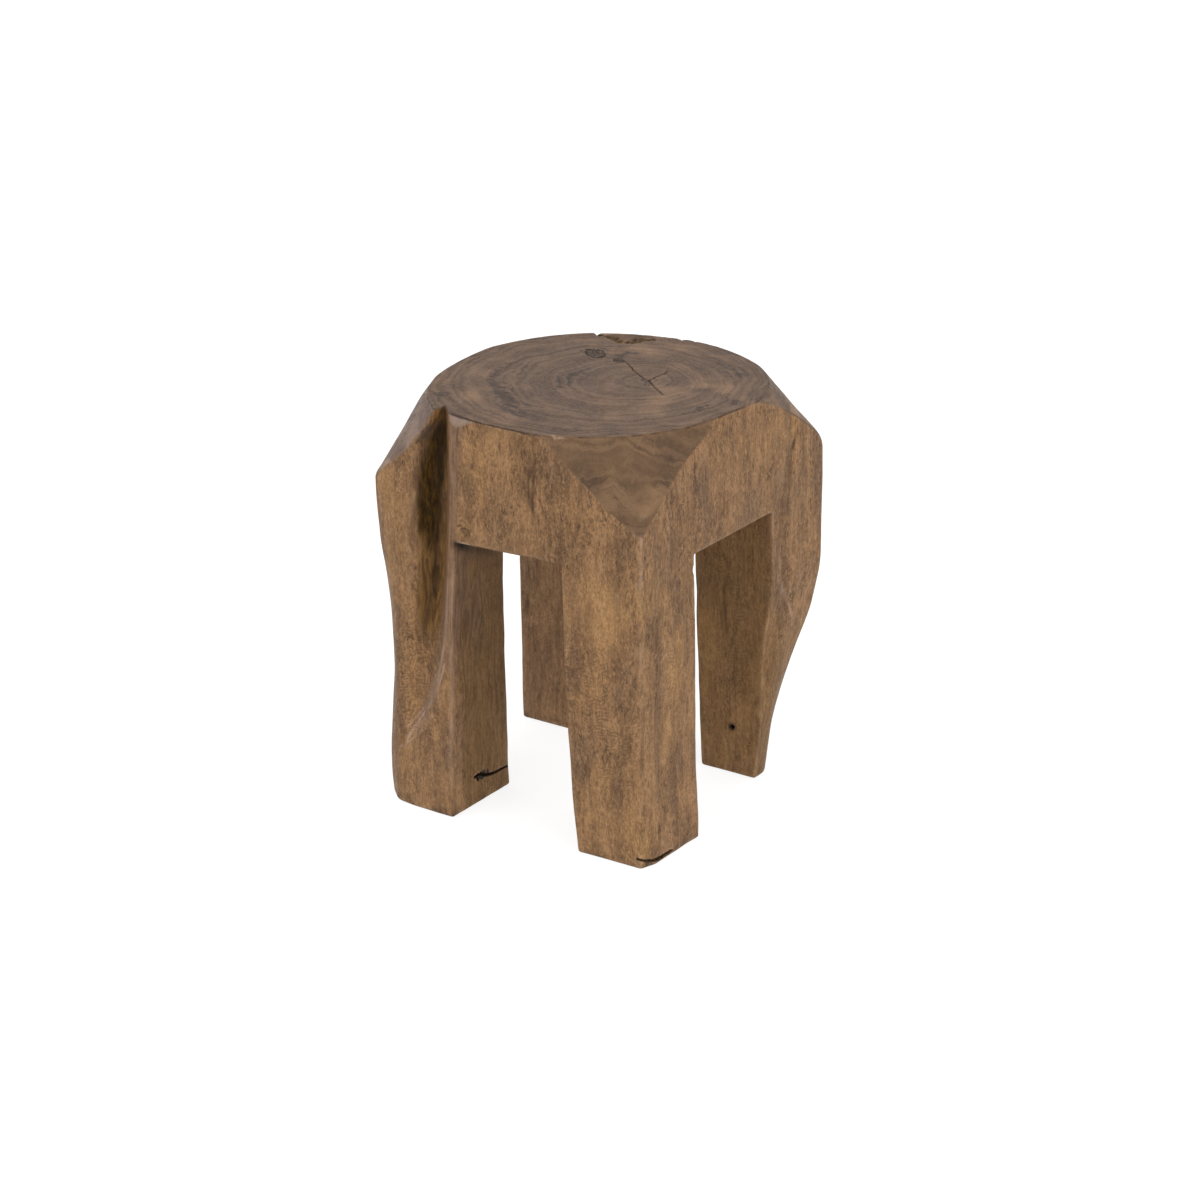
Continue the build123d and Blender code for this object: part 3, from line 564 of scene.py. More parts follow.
def sdf(p, full=True):
    """Signed distance to the wood, negative inside. p is N x 3 in millimetres."""
    x, y, z = p[:, 0], p[:, 1], p[:, 2]
    d = log_distance(x, y, z)
    # towards the seat the lobe closes over the natural hollow
    m = (z > 388) & (x > -150) & (x < -68) & (y < -130)
    if m.any():
        wall = x[m] - np.interp(z[m], CLOSING[:, 0], CLOSING[:, 1]) - 0.30 * (y[m] + 172)
        if full:
            wall = wall + 0.9 * BARK_WAVE(p[m] * 0.7)
        d[m] = smin(d[m], np.maximum(-173.6 - y[m], wall * 0.76), 2.4)
    # back hollow
    cx = np.interp(z, _bh[:, 0], _bh[:, 1])
    cy = np.interp(z, _bh[:, 0], _bh[:, 2])
    cr = np.interp(z, _bh[:, 0], _bh[:, 3])
    d = smax(d, cr - np.hypot(x - cx, y - cy), 7.0)
    for i in range(4):
        m = z > 346
        if m.any():
            d[m] = smax(d[m], facet_distance(i, x[m], y[m], z[m]), 1.5)
    # hand-worked skin: it only ever goes inward
    skin = 0.0
    if full:
        skin = 0.25 * (1 + DENT_WAVE(p)) + 0.07 * (1 + TOOL_WAVE(p))
        skin = np.clip(skin, 0, 1.6)
        inside_hollow = left_hollow(x, y, z)
        skin = skin + inside_hollow * (0.6 + 0.55 * BARK_WAVE(p))
        q = np.stack([x, y, z], 1)
        m = (x > 120) & (y > 55) & (z > 140)
        add = np.zeros(len(p))
        if m.any():
            dist, along = to_path(q[m], FLUTE)
            add[m] += (2.6 * smooth(0.0, 0.1, along) * (1 - 0.55 * smooth(0.35, 1.0, along))) * np.exp(-(dist / 7.5) ** 2)
            dist, along = to_path(q[m], FOLD)
            add[m] += 1.6 * np.exp(-(dist / 3.2) ** 2)
        skin = skin + add
    d = d + skin
    # seat
    top = (z - grid_look(SEAT, x, y)) * grid_look(SEAT_C, x, y)
    d = smax(d, top, 1.2)
    # small flat struck off between the seat's edge and the front-left face
    m = (x > -82) & (x < -25) & (z > 425) & (y < -140)
    if m.any():
        d[m] = smax(d[m], x[m] * -0.136 + y[m] * -0.931 + z[m] * 0.339 - 317.0, 0.7)
    # underside of the feet
    foot = FOOT_Z + 0.12 * (1 + FOOT_WAVE(p)) * smooth(14, 30, np.hypot(np.abs(x) - 114, np.abs(y) - 118)) if full else FOOT_Z
    # tunnels
    wob = 0.30 * (1 + DENT_WAVE(p[:, [1, 2, 0]])) if full else 0.0
    a = tunnel(WALLS_Y, ALONG_Y_FRONT, ALONG_Y_BACK, x, y, z, wob)
    b = tunnel(WALLS_X, ALONG_X_LEFT, ALONG_X_RIGHT, y, x, z, wob)
    d = smax(d, -smin(a, b, 2.6), 1.9)
    d = smax(d, foot - z, 3.2)
    if full:
        for path, radius, tip in CRACKS:
            c = path.mean(0)
            m = (np.abs(x - c[0]) < 14) & (np.abs(y - c[1]) < 60) & (np.abs(z - c[2]) < 22) & (d > -14) & (d < 8)
            if m.any():
                flat = p[m] * np.array([0.22, 1, 1])
                dist, along = to_path(flat, path * np.array([0.22, 1, 1]))
                r = tip + (radius - tip) * (0.55 + 0.45 * np.sin(along * 9.0 + 1.0) ** 2) * smooth(1.0, 0.7, along)
                d[m] = smax(d[m], r - dist, 0.7)
        # knot hole in the right leg's tunnel wall
        m = (np.abs(x - 110) < 12) & (np.abs(z - 56) < 12) & (np.abs(y - 84) < 14)
        if m.any():
            hole = np.hypot((x[m] - 110) * 0.8, z[m] - 56) - (3.0 - 0.22 * np.maximum(y[m] - 83, 0))
            hole = np.maximum(hole, y[m] - 91)
            d[m] = smax(d[m], -hole, 1.0)
        # chip torn out of the front foot's lower edge
        m = (x > 150) & (y < -96) & (z < 26)
        if m.any():
            xx, yy, zz = x[m], y[m], z[m]
            tear = signed_polygon(yy, zz, CHIP) + 0.35 * FINE_WAVE(p[m] * 1.2)
            wall = 161.4 + 0.045 * (yy + 160) + 0.8 * FINE_WAVE(p[m] * 0.8 + 9.0)
            hole = np.maximum(tear * 0.9, wall - xx)
            d[m] = smax(d[m], -hole, 0.8)
        for (c, radius, depth) in NICKS:
            m = (np.abs(x - c[0]) < radius * 3) & (np.abs(y - c[1]) < radius * 3) & (np.abs(z - c[2]) < radius * 3)
            if m.any():
                e2 = (x[m] - c[0]) ** 2 + (y[m] - c[1]) ** 2 + (z[m] - c[2]) ** 2
                d[m] += depth * np.exp(-e2 / radius**2)
    return d


# floor line of the left hollow: z, x, y, half width along x
HOLLOW = np.array([(80, -127, -171, 9), (110, -120, -168, 11), (150, -115, -165, 13), (200, -110, -160, 14), (250, -107, -155, 15), (300, -103, -151, 16),
                   (350, -100, -149, 16), (400, -98, -148, 16), (450, -96, -152, 15)], float)


def left_hollow(x, y, z):
    """1 in the depth of the natural hollow of the left leg, fading to 0 at its shoulders."""
    cx = np.interp(z, HOLLOW[:, 0], HOLLOW[:, 1])
    cy = np.interp(z, HOLLOW[:, 0], HOLLOW[:, 2])
    w = np.interp(z, HOLLOW[:, 0], HOLLOW[:, 3])
    r = np.hypot((x - cx) / w, (y - cy) / 15.0)
    return smooth(1.25, 0.35, r) * smooth(120, 235, z)


# ---------------------------------------------------------------------------------------------
# from the distance field to a mesh
# ---------------------------------------------------------------------------------------------
def evaluate(points):
    out = np.empty(len(points), np.float32)
    for s in range(0, len(points), 400000):
        out[s:s + 400000] = sdf(points[s:s + 400000].astype(np.float64))
    return out


def field(pitch):
    low = np.array([-178.0, -184.0, -4.0])
    high = np.array([176.0, 178.0, 456.0])
    coarse = 4
    n = np.ceil((high - low) / (pitch * coarse)).astype(int)
    shape = n * coarse + 1
    axes = [low[k] + np.arange(shape[k]) * pitch for k in range(3)]
    ci = [np.arange(0, shape[k], coarse) for k in range(3)]
    g = np.meshgrid(*[axes[k][ci[k]] for k in range(3)], indexing="ij")
    c = evaluate(np.stack([v.ravel() for v in g], 1)).reshape(g[0].shape)
    # coarse values fill the field, then blocks near the surface are worked out in full
    reach = pitch * coarse * 1.9
    near = np.abs(c) < reach
    block = near[:-1, :-1, :-1].copy()
    for dx in (0, 1):
        for dy in (0, 1):
            for dz in (0, 1):
                block |= near[dx:dx + n[0], dy:dy + n[1], dz:dz + n[2]]
    mixed = c < 0
    some = np.zeros_like(block)
    every = np.ones_like(block)
    for dx in (0, 1):
        for dy in (0, 1):
            for dz in (0, 1):
                v = mixed[dx:dx + n[0], dy:dy + n[1], dz:dz + n[2]]
                some |= v
                every &= v
    block |= some & ~every
    values = np.repeat(np.repeat(np.repeat(c, coarse, 0), coarse, 1), coarse, 2)[:shape[0], :shape[1], :shape[2]].astype(np.float32)
    need = np.zeros(values.shape, bool)
    idx = np.argwhere(block)
    for dx in range(coarse + 1):
        for dy in range(coarse + 1):
            for dz in range(coarse + 1):
                need[idx[:, 0] * coarse + dx, idx[:, 1] * coarse + dy, idx[:, 2] * coarse + dz] = True
    where = np.argwhere(need)
    values[need] = evaluate(low + where * pitch)
    return values, low


def surface_nets(v, low, pitch):
    inside = v < 0
    nx, ny, nz = v.shape
    some = np.zeros((nx - 1, ny - 1, nz - 1), bool)
    every = np.ones_like(some)
    for dx in (0, 1):
        for dy in (0, 1):
            for dz in (0, 1):
                s = inside[dx:dx + nx - 1, dy:dy + ny - 1, dz:dz + nz - 1]
                some |= s
                every &= s
    cells = np.argwhere(some & ~every)
    index = np.full(some.shape, -1, np.int32)
    index[cells[:, 0], cells[:, 1], cells[:, 2]] = np.arange(len(cells))
    corner = [(dx, dy, dz) for dx in (0, 1) for dy in (0, 1) for dz in (0, 1)]
    val = np.stack([v[cells[:, 0] + a, cells[:, 1] + b, cells[:, 2] + c] for a, b, c in corner], 1)
    total = np.zeros((len(cells), 3))
    count = np.zeros(len(cells))
    for i, a in enumerate(corner):
        for j, b in enumerate(corner):
            if i < j and sum(abs(p - q) for p, q in zip(a, b)) == 1:
                cross = (val[:, i] < 0) != (val[:, j] < 0)
                with np.errstate(divide="ignore", invalid="ignore"):
                    t = np.where(cross, val[:, i] / (val[:, i] - val[:, j]), 0.0)
                point = np.array(a)[None] + (np.array(b) - np.array(a))[None] * t[:, None]
                total += point * cross[:, None]
                count += cross
    verts = low + (cells + total / count[:, None]) * pitch
    faces = []
    for axis in range(3):
        u, w = [(1, 2), (2, 0), (0, 1)][axis]
        a = [slice(0, s) for s in v.shape]
        b = [slice(0, s) for s in v.shape]
        a[axis] = slice(0, v.shape[axis] - 1)
        b[axis] = slice(1, v.shape[axis])
        first, second = inside[tuple(a)], inside[tuple(b)]
        for flip, e in ((False, first & ~second), (True, ~first & second)):
            p = np.argwhere(e)
            ok = (p[:, u] > 0) & (p[:, w] > 0) & (p[:, u] < v.shape[u] - 1) & (p[:, w] < v.shape[w] - 1)
            p = p[ok]
            quad = []
            for du, dw in ((-1, -1), (0, -1), (0, 0), (-1, 0)):
                c = p.copy()
                c[:, u] += du
                c[:, w] += dw
                quad.append(index[c[:, 0], c[:, 1], c[:, 2]])
            quad = np.stack(quad, 1)
            if flip:
                quad = quad[:, ::-1]
            faces.append(quad)
    faces = np.vstack(faces)
    return verts, faces[(faces >= 0).all(1)]


def slope(points, step=0.45):
    g = np.empty((len(points), 3))
    for k in range(3):
        e = np.zeros(3)
        e[k] = step
        g[:, k] = (evaluate(points + e) - evaluate(points - e)) / (2 * step)
    return g


def settle(points, rounds, limit, step=0.45):
    """Moves points onto the surface along its slope."""
    for _ in range(rounds):
        g = slope(points, step)
        d = evaluate(points)
        m = (g * g).sum(1)
        move = -(d / np.maximum(m, 0.15))[:, None] * g
        length = np.linalg.norm(move, axis=1)
        move *= np.minimum(1.0, limit / np.maximum(length, 1e-9))[:, None]
        points = points + move
    return points


def split_long(verts, tris, longest):
    """Splits every edge longer than longest(midpoint) in two. One pass."""
    e = np.vstack([tris[:, [0, 1]], tris[:, [1, 2]], tris[:, [2, 0]]])
    key = np.sort(e, 1)
    uniq, inverse = np.unique(key, axis=0, return_inverse=True)
    inverse = inverse.reshape(-1)
    mid = (verts[uniq[:, 0]] + verts[uniq[:, 1]]) / 2
    size = np.linalg.norm(verts[uniq[:, 0]] - verts[uniq[:, 1]], axis=1)
    cut = size > longest(mid)
    if not cut.any():
        return verts, tris, 0
    new = np.full(len(uniq), -1, np.int64)
    new[cut] = len(verts) + np.arange(cut.sum())
    verts = np.vstack([verts, mid[cut]])
    n = len(tris)
    m = np.stack([new[inverse[:n]], new[inverse[n:2 * n]], new[inverse[2 * n:]]], 1)
    marks = (m >= 0)
    k = marks.sum(1)
    out = [tris[k == 0]]
    for r in range(3):
        t = np.roll(tris, -r, 1)
        mm = np.roll(m, -r, 1)
        mk = np.roll(marks, -r, 1)
        one = (k == 1) & mk[:, 0]
        a, b, c, ab = t[one, 0], t[one, 1], t[one, 2], mm[one, 0]
        out += [np.stack([a, ab, c], 1), np.stack([ab, b, c], 1)]
        two = (k == 2) & mk[:, 0] & mk[:, 1]
        a, b, c, ab, bc = t[two, 0], t[two, 1], t[two, 2], mm[two, 0], mm[two, 1]
        out += [np.stack([ab, b, bc], 1), np.stack([a, ab, bc], 1), np.stack([a, bc, c], 1)]
    three = k == 3
    a, b, c = tris[three].T
    ab, bc, ca = m[three].T
    out += [np.stack([a, ab, ca], 1), np.stack([ab, b, bc], 1), np.stack([ca, bc, c], 1), np.stack([ab, bc, ca], 1)]
    return verts, np.vstack(out), int(cut.sum())


def make_mesh(name, verts, faces):
    mesh = bpy.data.meshes.new(name)
    mesh.vertices.add(len(verts))
    mesh.vertices.foreach_set("co", np.asarray(verts, np.float32).ravel())
    n = faces.shape[1]
    mesh.loops.add(faces.size)
    mesh.loops.foreach_set("vertex_index", faces.astype(np.int32).ravel())
    mesh.polygons.add(len(faces))
    mesh.polygons.foreach_set("loop_start", np.arange(0, faces.size, n, dtype=np.int32))
    mesh.polygons.foreach_set("loop_total", np.full(len(faces), n, np.int32))
    mesh.polygons.foreach_set("use_smooth", np.ones(len(faces), bool))
    mesh.update(calc_edges=True)
    mesh.validate()
    obj = bpy.data.objects.new(name, mesh)
    bpy.context.scene.collection.objects.link(obj)
    return obj


def read_mesh(mesh):
    verts = np.empty(len(mesh.vertices) * 3, np.float32)
    mesh.vertices.foreach_get("co", verts)
    mesh.calc_loop_triangles()
    tris = np.empty(len(mesh.loop_triangles) * 3, np.int32)
    mesh.loop_triangles.foreach_get("vertices", tris)
    return verts.reshape(-1, 3).astype(float), tris.reshape(-1, 3)


def carved_body():
    values, low = field(PITCH)
    verts, quads = surface_nets(values, low, PITCH)
    del values
    verts = settle(verts, 1, PITCH * 0.6)
    obj = make_mesh("carved_wood", verts / 1000.0, quads)
    target = 86000
    mod = obj.modifiers.new("reduce", "DECIMATE")
    mod.ratio = min(1.0, target / (2.0 * len(quads)))
    bpy.context.view_layer.update()
    done = obj.evaluated_get(bpy.context.evaluated_depsgraph_get()).to_mesh()
    verts, tris = read_mesh(done)
    verts *= 1000.0
    obj.to_mesh_clear()
    bpy.data.objects.remove(obj)
    fine = [np.column_stack([jitter(CHECK_STEM, 50, 0, 0), np.full(len(CHECK_STEM), 449)]),
            np.column_stack([np.array(CHECK_ARM_A), np.full(len(CHECK_ARM_A), 449)]),
            np.column_stack([np.array(CHECK_ARM_B), np.full(len(CHECK_ARM_B), 449)])]
    fine += [c[0] for c in CRACKS]

    def longest(mid):
        size = np.full(len(mid), 7.0)
        # the tunnels, the faces turned away and the soles carry no fine paint
        inner = ((np.abs(mid[:, 0]) < 76) | (np.abs(mid[:, 1]) < 76)) & (mid[:, 2] < 316)
        size[inner | (mid[:, 2] < 3)] = 10.0
        size[(mid[:, 0] < -150) & (mid[:, 1] > -120) | (mid[:, 1] > 150) & (mid[:, 0] < 80)] = 8.5
        for path in fine:
            c = path.mean(0)
            m = np.linalg.norm(mid - c, axis=1) < 70
            if m.any():
                d, _ = to_path(mid[m], path)
                size[m] = np.minimum(size[m], np.where(d < 3.2, 1.0, np.where(d < 6, 2.0, 7.0)))
        for path, reach, step in THIN:
            path = np.asarray(path, float)
            c = path.mean(0)
            m = np.linalg.norm(mid - c, axis=1) < reach + 6 + 0.6 * np.linalg.norm(path[-1] - path[0])
            if m.any():
                d, _ = to_path(mid[m], path)
                size[m] = np.minimum(size[m], np.where(d < reach, step, 10.0))
        for edge in (KNOT_EDGE, KNOT_SMALL_EDGE):
            m = (mid[:, 2] > 440) & (np.hypot(mid[:, 0] - edge[:, 0].mean(), mid[:, 1] - edge[:, 1].mean()) < 30)
            if m.any():
                d = np.abs(signed_polygon(mid[m, 0], mid[m, 1], edge))
                size[m] = np.minimum(size[m], np.where(d < 2.2, 1.1, 3.0))
        m = (mid[:, 0] > 152) & (mid[:, 1] < -106) & (mid[:, 2] < 18)
        size[m] = np.minimum(size[m], 1.3)
        # the seat's rim and the natural hollow carry fine paint
        m = (mid[:, 2] > 448) & (np.hypot(mid[:, 0], mid[:, 1]) > 155)
        size[m] = np.minimum(size[m], 3.0)
        m = (mid[:, 0] > -82) & (mid[:, 0] < -30) & (mid[:, 1] < -155) & (mid[:, 2] > 434)
        size[m] = np.minimum(size[m], 1.6)
        m = (mid[:, 0] > -130) & (mid[:, 0] < -62) & (mid[:, 1] < -140) & (mid[:, 2] > 170)
        size[m] = np.minimum(size[m], 3.4)
        m = (mid[:, 2] > 436) & (mid[:, 1] > 105) & (mid[:, 0] > -115) & (mid[:, 0] < 8)
        size[m] = np.minimum(size[m], 2.2)
        return size

    for _ in range(4):
        verts, tris, cut = split_long(verts, tris, longest)
        if not cut:
            break
    verts = settle(verts, 2, 0.8, 0.3)
    obj = make_mesh("carved_wood", verts / 1000.0, tris)
    return obj


body = carved_body()


# ---------------------------------------------------------------------------------------------
# where the wood is stained, dark, worn or warm, and where shade and highlights are painted: weights kept on the mesh's
# points
# ---------------------------------------------------------------------------------------------
def stroke(p, path, width, strength, wander=None):
    path = np.asarray(path, float)
    low, high = path.min(0) - 3 * width - 4, path.max(0) + 3 * width + 4
    m = ((p > low) & (p < high)).all(1)
    out = np.zeros(len(p))
    if m.any():
        q = p[m]
        if wander is not None:
            q = q + wander[m][:, None] * np.array([1.0, 1.0, 0.2])
        d, along = to_path(q, path)
        ends = 0.35 + 0.65 * np.sin(np.clip(along, 0, 1) * math.pi) ** 0.5
        out[m] = strength * np.exp(-(d / width) ** 2) * ends
    return out


def top_path(pts):
    return [(x, y, 449.0) for x, y in pts]


def fl_path(pts):
    return [(x, -170.0, z) for x, z in pts]


def fr_path(pts):
    return [(160.5, y, z) for y, z in pts]


STAINS_AND_SHADOWS = [
    # smoky drifts on the seat
    (top_path([(-112, 4), (-108, -20), (-102, -42), (-86, -66), (-66, -87), (-45, -108), (-22, -124), (15, -128), (40, -126)]), 13.0, 0.48),
    (top_path([(-90, -62), (-68, -86), (-44, -104), (-18, -116)]), 9.0, 0.42),
    (top_path([(-62, -112), (-30, -128), (10, -134)]), 7.0, 0.45),
    (top_path([(-36, 34), (-30, 8), (-32, -20), (-26, -44)]), 17.0, 0.50),
    (top_path([(-46, 12), (-36, -24), (-30, -58)]), 9.0, 0.35),
    (top_path([(-60, -64), (-44, -74), (-22, -80), (-4, -88)]), 8.0, 0.45),
    (top_path([(34, -74), (50, -80), (62, -74)]), 7.0, 0.45),
    (top_path([(-30, -100), (0, -108), (30, -104)]), 6.0, 0.35),
    (top_path([(10, -150), (46, -148), (76, -134), (106, -114)]), 9.0, 0.50),
    (fl_path([(104, 74), (116, 58)]), 17.0, 0.34),
    (top_path([(12, 102), (40, 99), (65, 92), (85, 77)]), 2.0, 0.75),
    (top_path([(6, 84), (30, 86), (50, 80)]), 3.0, 0.35),
    (top_path([(20, 138), (38, 128), (55, 127), (80, 115), (104, 101), (128, 82)]), 5.5, 0.60),
    (top_path([(56, 108), (86, 96), (112, 78)]), 6.0, 0.45),
    (top_path([(66, 136), (96, 118), (120, 92)]), 5.0, 0.40),
    (top_path([(132, 34), (146, 24), (160, 18)]), 7.0, 0.75),
    (top_path([(112, 12), (126, 2), (132, -16), (130, -36)]), 9.0, 0.50),
    (top_path([(126, -4), (130, -20)]), 3.0, 0.5),
    (top_path([(88, -60), (98, -70), (110, -66), (122, -54)]), 2.2, 0.60),
    (top_path([(-128, 14), (-120, -12), (-110, -42), (-96, -62)]), 2.4, 0.60),
    (top_path([(-118, -118), (-108, -132)]), 8.0, 0.85),
    (top_path([(-100, -118), (-84, -124)]), 4.0, 0.45),
    (top_path([(-98, 74), (-90, 66), (-92, 62)]), 2.4, 0.35),
    (top_path([(-110, 96), (-98, 72), (-84, 62)]), 7.0, 0.26),
    # around the knots
    (top_path([(-80, 86), (-76, 76), (-70, 68), (-60, 62), (-50, 58)]), 4.5, 0.75),
    (top_path([(-72, 92), (-62, 90), (-56, 82)]), 4.5, 0.65),
    (top_path([(-56, 84), (-48, 76), (-44, 66)]), 8.0, 0.55),
    (top_path([(-40, 93), (-30, 97), (-22, 102)]), 3.0, 1.0),
    (top_path([(-36, 84), (-30, 80)]), 3.0, 0.8),
    (top_path([(-16, 102), (-12, 104)]), 2.2, 0.7),
    (top_path([(-36, 92), (-34, 80), (-30, 70)]), 3.4, 0.7),
    (top_path([(-20, 110), (-40, 70), (-46, 60)]), 5.0, 0.35),
    (top_path([(26, 34), (36, 26), (48, 20)]), 6.0, 0.60),
    (top_path([(12, 22), (22, 14)]), 5.0, 0.55),
    (top_path([(30, 36), (34, 24), (44, 12)]), 3.0, 0.5),
    (top_path([(-22, 72), (0, 54), (22, 40), (44, 24)]), 2.2, 0.45),
    (top_path([(60, 10), (78, -4)]), 1.4, 0.4),
    # front facet
    ([(58, -142, 446), (90, -150, 420), (120, -152, 400)], 5.0, 0.35),
    ([(70, -160, 418), (108, -130, 425), (140, -96, 425)], 3.0, 0.40),
    ([(92, -158, 404), (120, -138, 408), (150, -112, 408)], 3.0, 0.40),
    ([(112, -160, 388), (134, -148, 392), (156, -128, 394)], 5.0, 0.55),
    ([(128, -164, 376), (140, -156, 378), (156, -142, 380)], 4.0, 0.55),
    # apron and front leg, left-hand face
    (fl_path([(24, 448), (28, 400), (30, 372)]), 13.0, 0.62),
    (fl_path([(44, 440), (48, 405), (50, 384)]), 10.0, 0.40),
    (fl_path([(-6, 446), (-4, 412), (-6, 380), (-4, 350)]), 3.6, 0.60),
    (fl_path([(6, 444), (8, 400), (6, 360)]), 3.0, 0.36),
    (fl_path([(-18, 440), (-16, 414), (-20, 392), (-16, 370), (-20, 352)]), 2.6, 0.62),
    (fl_path([(-40, 424), (-42, 400), (-39, 380), (-42, 352)]), 2.2, 0.50),
    (fl_path([(-52, 392), (-50, 372), (-48, 348)]), 5.0, 0.30),
    (fl_path([(-28, 344), (-10, 338), (14, 342)]), 7.0, 0.34),
    (fl_path([(14, 360), (17, 344), (14, 330)]), 3.4, 0.45),
    (fl_path([(29, 384), (33, 366), (45, 348)]), 2.4, 0.66),
    (fl_path([(38, 386), (46, 366), (55, 352)]), 2.0, 0.60),
    (fl_path([(52, 412), (54, 398), (52, 386)]), 2.4, 0.5),
    (fl_path([(77, 405), (84, 372), (92, 344), (103, 300)]), 2.8, 0.58),
    (fl_path([(68, 392), (76, 366), (82, 344)]), 2.0, 0.42),
    (fl_path([(96, 372), (104, 350), (112, 320)]), 2.0, 0.40),
    (fl_path([(116, 330), (122, 310), (124, 286)]), 3.0, 0.36),
    (fl_path([(148, 300), (152, 262), (150, 222)]), 4.0, 0.48),
    (fl_path([(136, 262), (142, 236), (144, 204)]), 6.0, 0.30),
    (fl_path([(84, 150), (100, 140), (118, 146), (136, 162)]), 5.0, 0.30),
    (fl_path([(78, 140), (82, 100), (88, 56)]), 5.0, 0.40),
    (fl_path([(92, 64), (104, 40), (122, 44)]), 7.0, 0.35),
    (fl_path([(90, 24), (112, 16), (140, 20)]), 8.0, 0.34),
    (fl_path([(104, 250), (116, 236), (126, 244)]), 8.0, 0.22),
    (fl_path([(-142, 46), (-130, 30), (-112, 22)]), 14.0, 0.42),
    (fl_path([(-150, 226), (-142, 206), (-146, 186)]), 9.0, 0.34),
    (fl_path([(-139, 162), (-133, 158)]), 2.0, 0.8),
    (fl_path([(-62, 325), (-60, 331), (-55, 333.5), (-50, 331), (-48, 326)]), 1.3, 1.1),
    (fl_path([(-56, 322), (-40, 320), (-20, 318)]), 2.4, 0.4),
    # painted shadow under the apron's left end
    ([(-68, -168, 309), (-60, -166, 309), (-40, -164, 311)], 3.0, 0.9),
    (fl_path([(-128, 96), (-112, 108), (-98, 126)]), 5.0, 0.35),
    (fl_path([(-110, 60), (-96, 84), (-86, 110)]), 9.0, 0.26),
    (fl_path([(-160, 330), (-158, 290), (-152, 250)]), 5.0, 0.34),
    (fl_path([(-140, 400), (-136, 360), (-134, 320)]), 3.0, 0.34),
    # front leg beside its corner
    (fl_path([(152, 150), (146, 120), (150, 90)]), 3.0, 0.45),
    ([(160, -166, 240), (160, -166, 190), (160, -166, 150)], 3.0, 0.40),
    # apron and front leg, right-hand face
    (fr_path([(-70, 418), (-71, 400), (-69, 380)]), 2.4, 0.8),
    (fr_path([(-64, 400), (-62, 384), (-64, 366)]), 2.0, 0.5),
    (fr_path([(-50, 396), (-51, 370), (-49, 345)]), 2.0, 0.75),
    (fr_path([(-8, 388), (-6, 365), (-8, 343)]), 2.6, 0.55),
    (fr_path([(-18, 372), (-14, 356), (-16, 344)]), 2.0, 0.45),
    (fr_path([(-86, 369), (-84, 352), (-76, 340)]), 4.6, 0.55),
    (fr_path([(-100, 432), (-96, 424), (-92, 420)]), 2.2, 0.9),
    (fr_path([(-130, 388), (-127, 372), (-124, 352)]), 2.6, 0.5),
    (fr_path([(-154, 330), (-150, 300), (-140, 262)]), 4.0, 0.50),
    (fr_path([(-140, 322), (-137, 260), (-139, 200), (-136, 155)]), 4.0, 0.60),
    (fr_path([(-108, 322), (-100, 290), (-88, 250), (-82, 215)]), 6.0, 0.50),
    (fr_path([(-118, 198), (-116, 170), (-117, 144)]), 3.2, 0.72),
    (fr_path([(-104, 172), (-98, 145), (-92, 118)]), 3.6, 0.62),
    (fr_path([(-84, 320), (-82, 300), (-84, 280)]), 3.6, 0.5),
    (fr_path([(-156, 153), (-144, 151), (-131, 155)]), 1.4, 0.6),
    (fr_path([(-137, 96), (-135, 66), (-137, 40)]), 3.8, 0.62),
    (fr_path([(-128, 110), (-126, 86), (-124, 60)]), 2.6, 0.45),
    (fr_path([(-92, 110), (-90, 88), (-93, 66)]), 3.2, 0.55),
    (fr_path([(-104, 90), (-104, 70), (-102, 50)]), 4.0, 0.32),
    (fr_path([(-148, 44), (-130, 30), (-112, 28)]), 9.0, 0.55),
    (fr_path([(20, 440), (22, 400), (18, 350)]), 8.0, 0.28),
    (fr_path([(-30, 440), (-34, 410), (-30, 380)]), 4.0, 0.30),
    (fr_path([(52, 430), (50, 390)]), 4.0, 0.36),
    (fr_path([(74, 420), (70, 380), (72, 340)]), 5.0, 0.30),
    ([(168, 113, 410), (168, 112, 392), (168, 106, 368)], 4.4, 1.0),
    ([(168, 106, 368), (168, 97, 354), (168, 93, 325)], 3.4, 0.80),
    ([(168, 108, 356), (168, 106, 340), (168, 104, 330)], 2.0, 0.70),
    ([(169, 125, 402), (169, 117, 385)], 3.4, 0.6),
    ([(166, 161, 288), (166, 162, 281)], 2.6, 1.2),
    ([(166, 152, 250), (165, 153, 246)], 3.0, 1.2),
    ([(164, 84, 250), (160, 90, 225), (153, 100, 200), (146, 112, 165)], 11.0, 0.48),
    ([(150, 96, 190), (146, 92, 150), (144, 90, 110)], 7.0, 0.40),
    ([(142, 88, 96), (140, 90, 50), (138, 92, 10)], 7.0, 0.30),
    # tunnel walls and the far leg
    ([(-71, -156, 260), (-71, -152, 150), (-71, -152, 60)], 10.0, 0.50),
    ([(-71, -110, 300), (-71, -112, 200), (-71, -100, 90)], 7.0, 0.38),
    ([(-71, -128, 150), (-71, -134, 130), (-71, -140, 112)], 9.0, 0.55),
    # painted shadow on the left tunnel wall just under the apron's edge
    ([(-67, -158, 306), (-67, -140, 304), (-67, -110, 304)], 7.0, 0.95),
    ([(-71, -140, 60), (-71, -100, 44), (-71, -80, 40)], 8.0, 0.34),
    ([(95, 79, 300), (98, 80, 200), (104, 82, 110)], 8.0, 0.40),
    ([(74, 79, 300), (76, 79, 270)], 9.0, 0.45),
    ([(140, 79, 300), (138, 80, 240), (134, 82, 190)], 10.0, 0.50),
    ([(122, 80, 140), (120, 82, 100)], 8.0, 0.30),
    ([(100, 82, 24), (104, 84, 12)], 3.0, 0.7),
    ([(-158, 79, 260), (-157, 79, 150), (-156, 79, 40)], 6.0, 0.60),
    ([(-104, 79, 330), (-104, 79, 250)], 4.0, 0.4),
    ([(-120, 79, 250), (-118, 79, 120)], 9.0, 0.26),
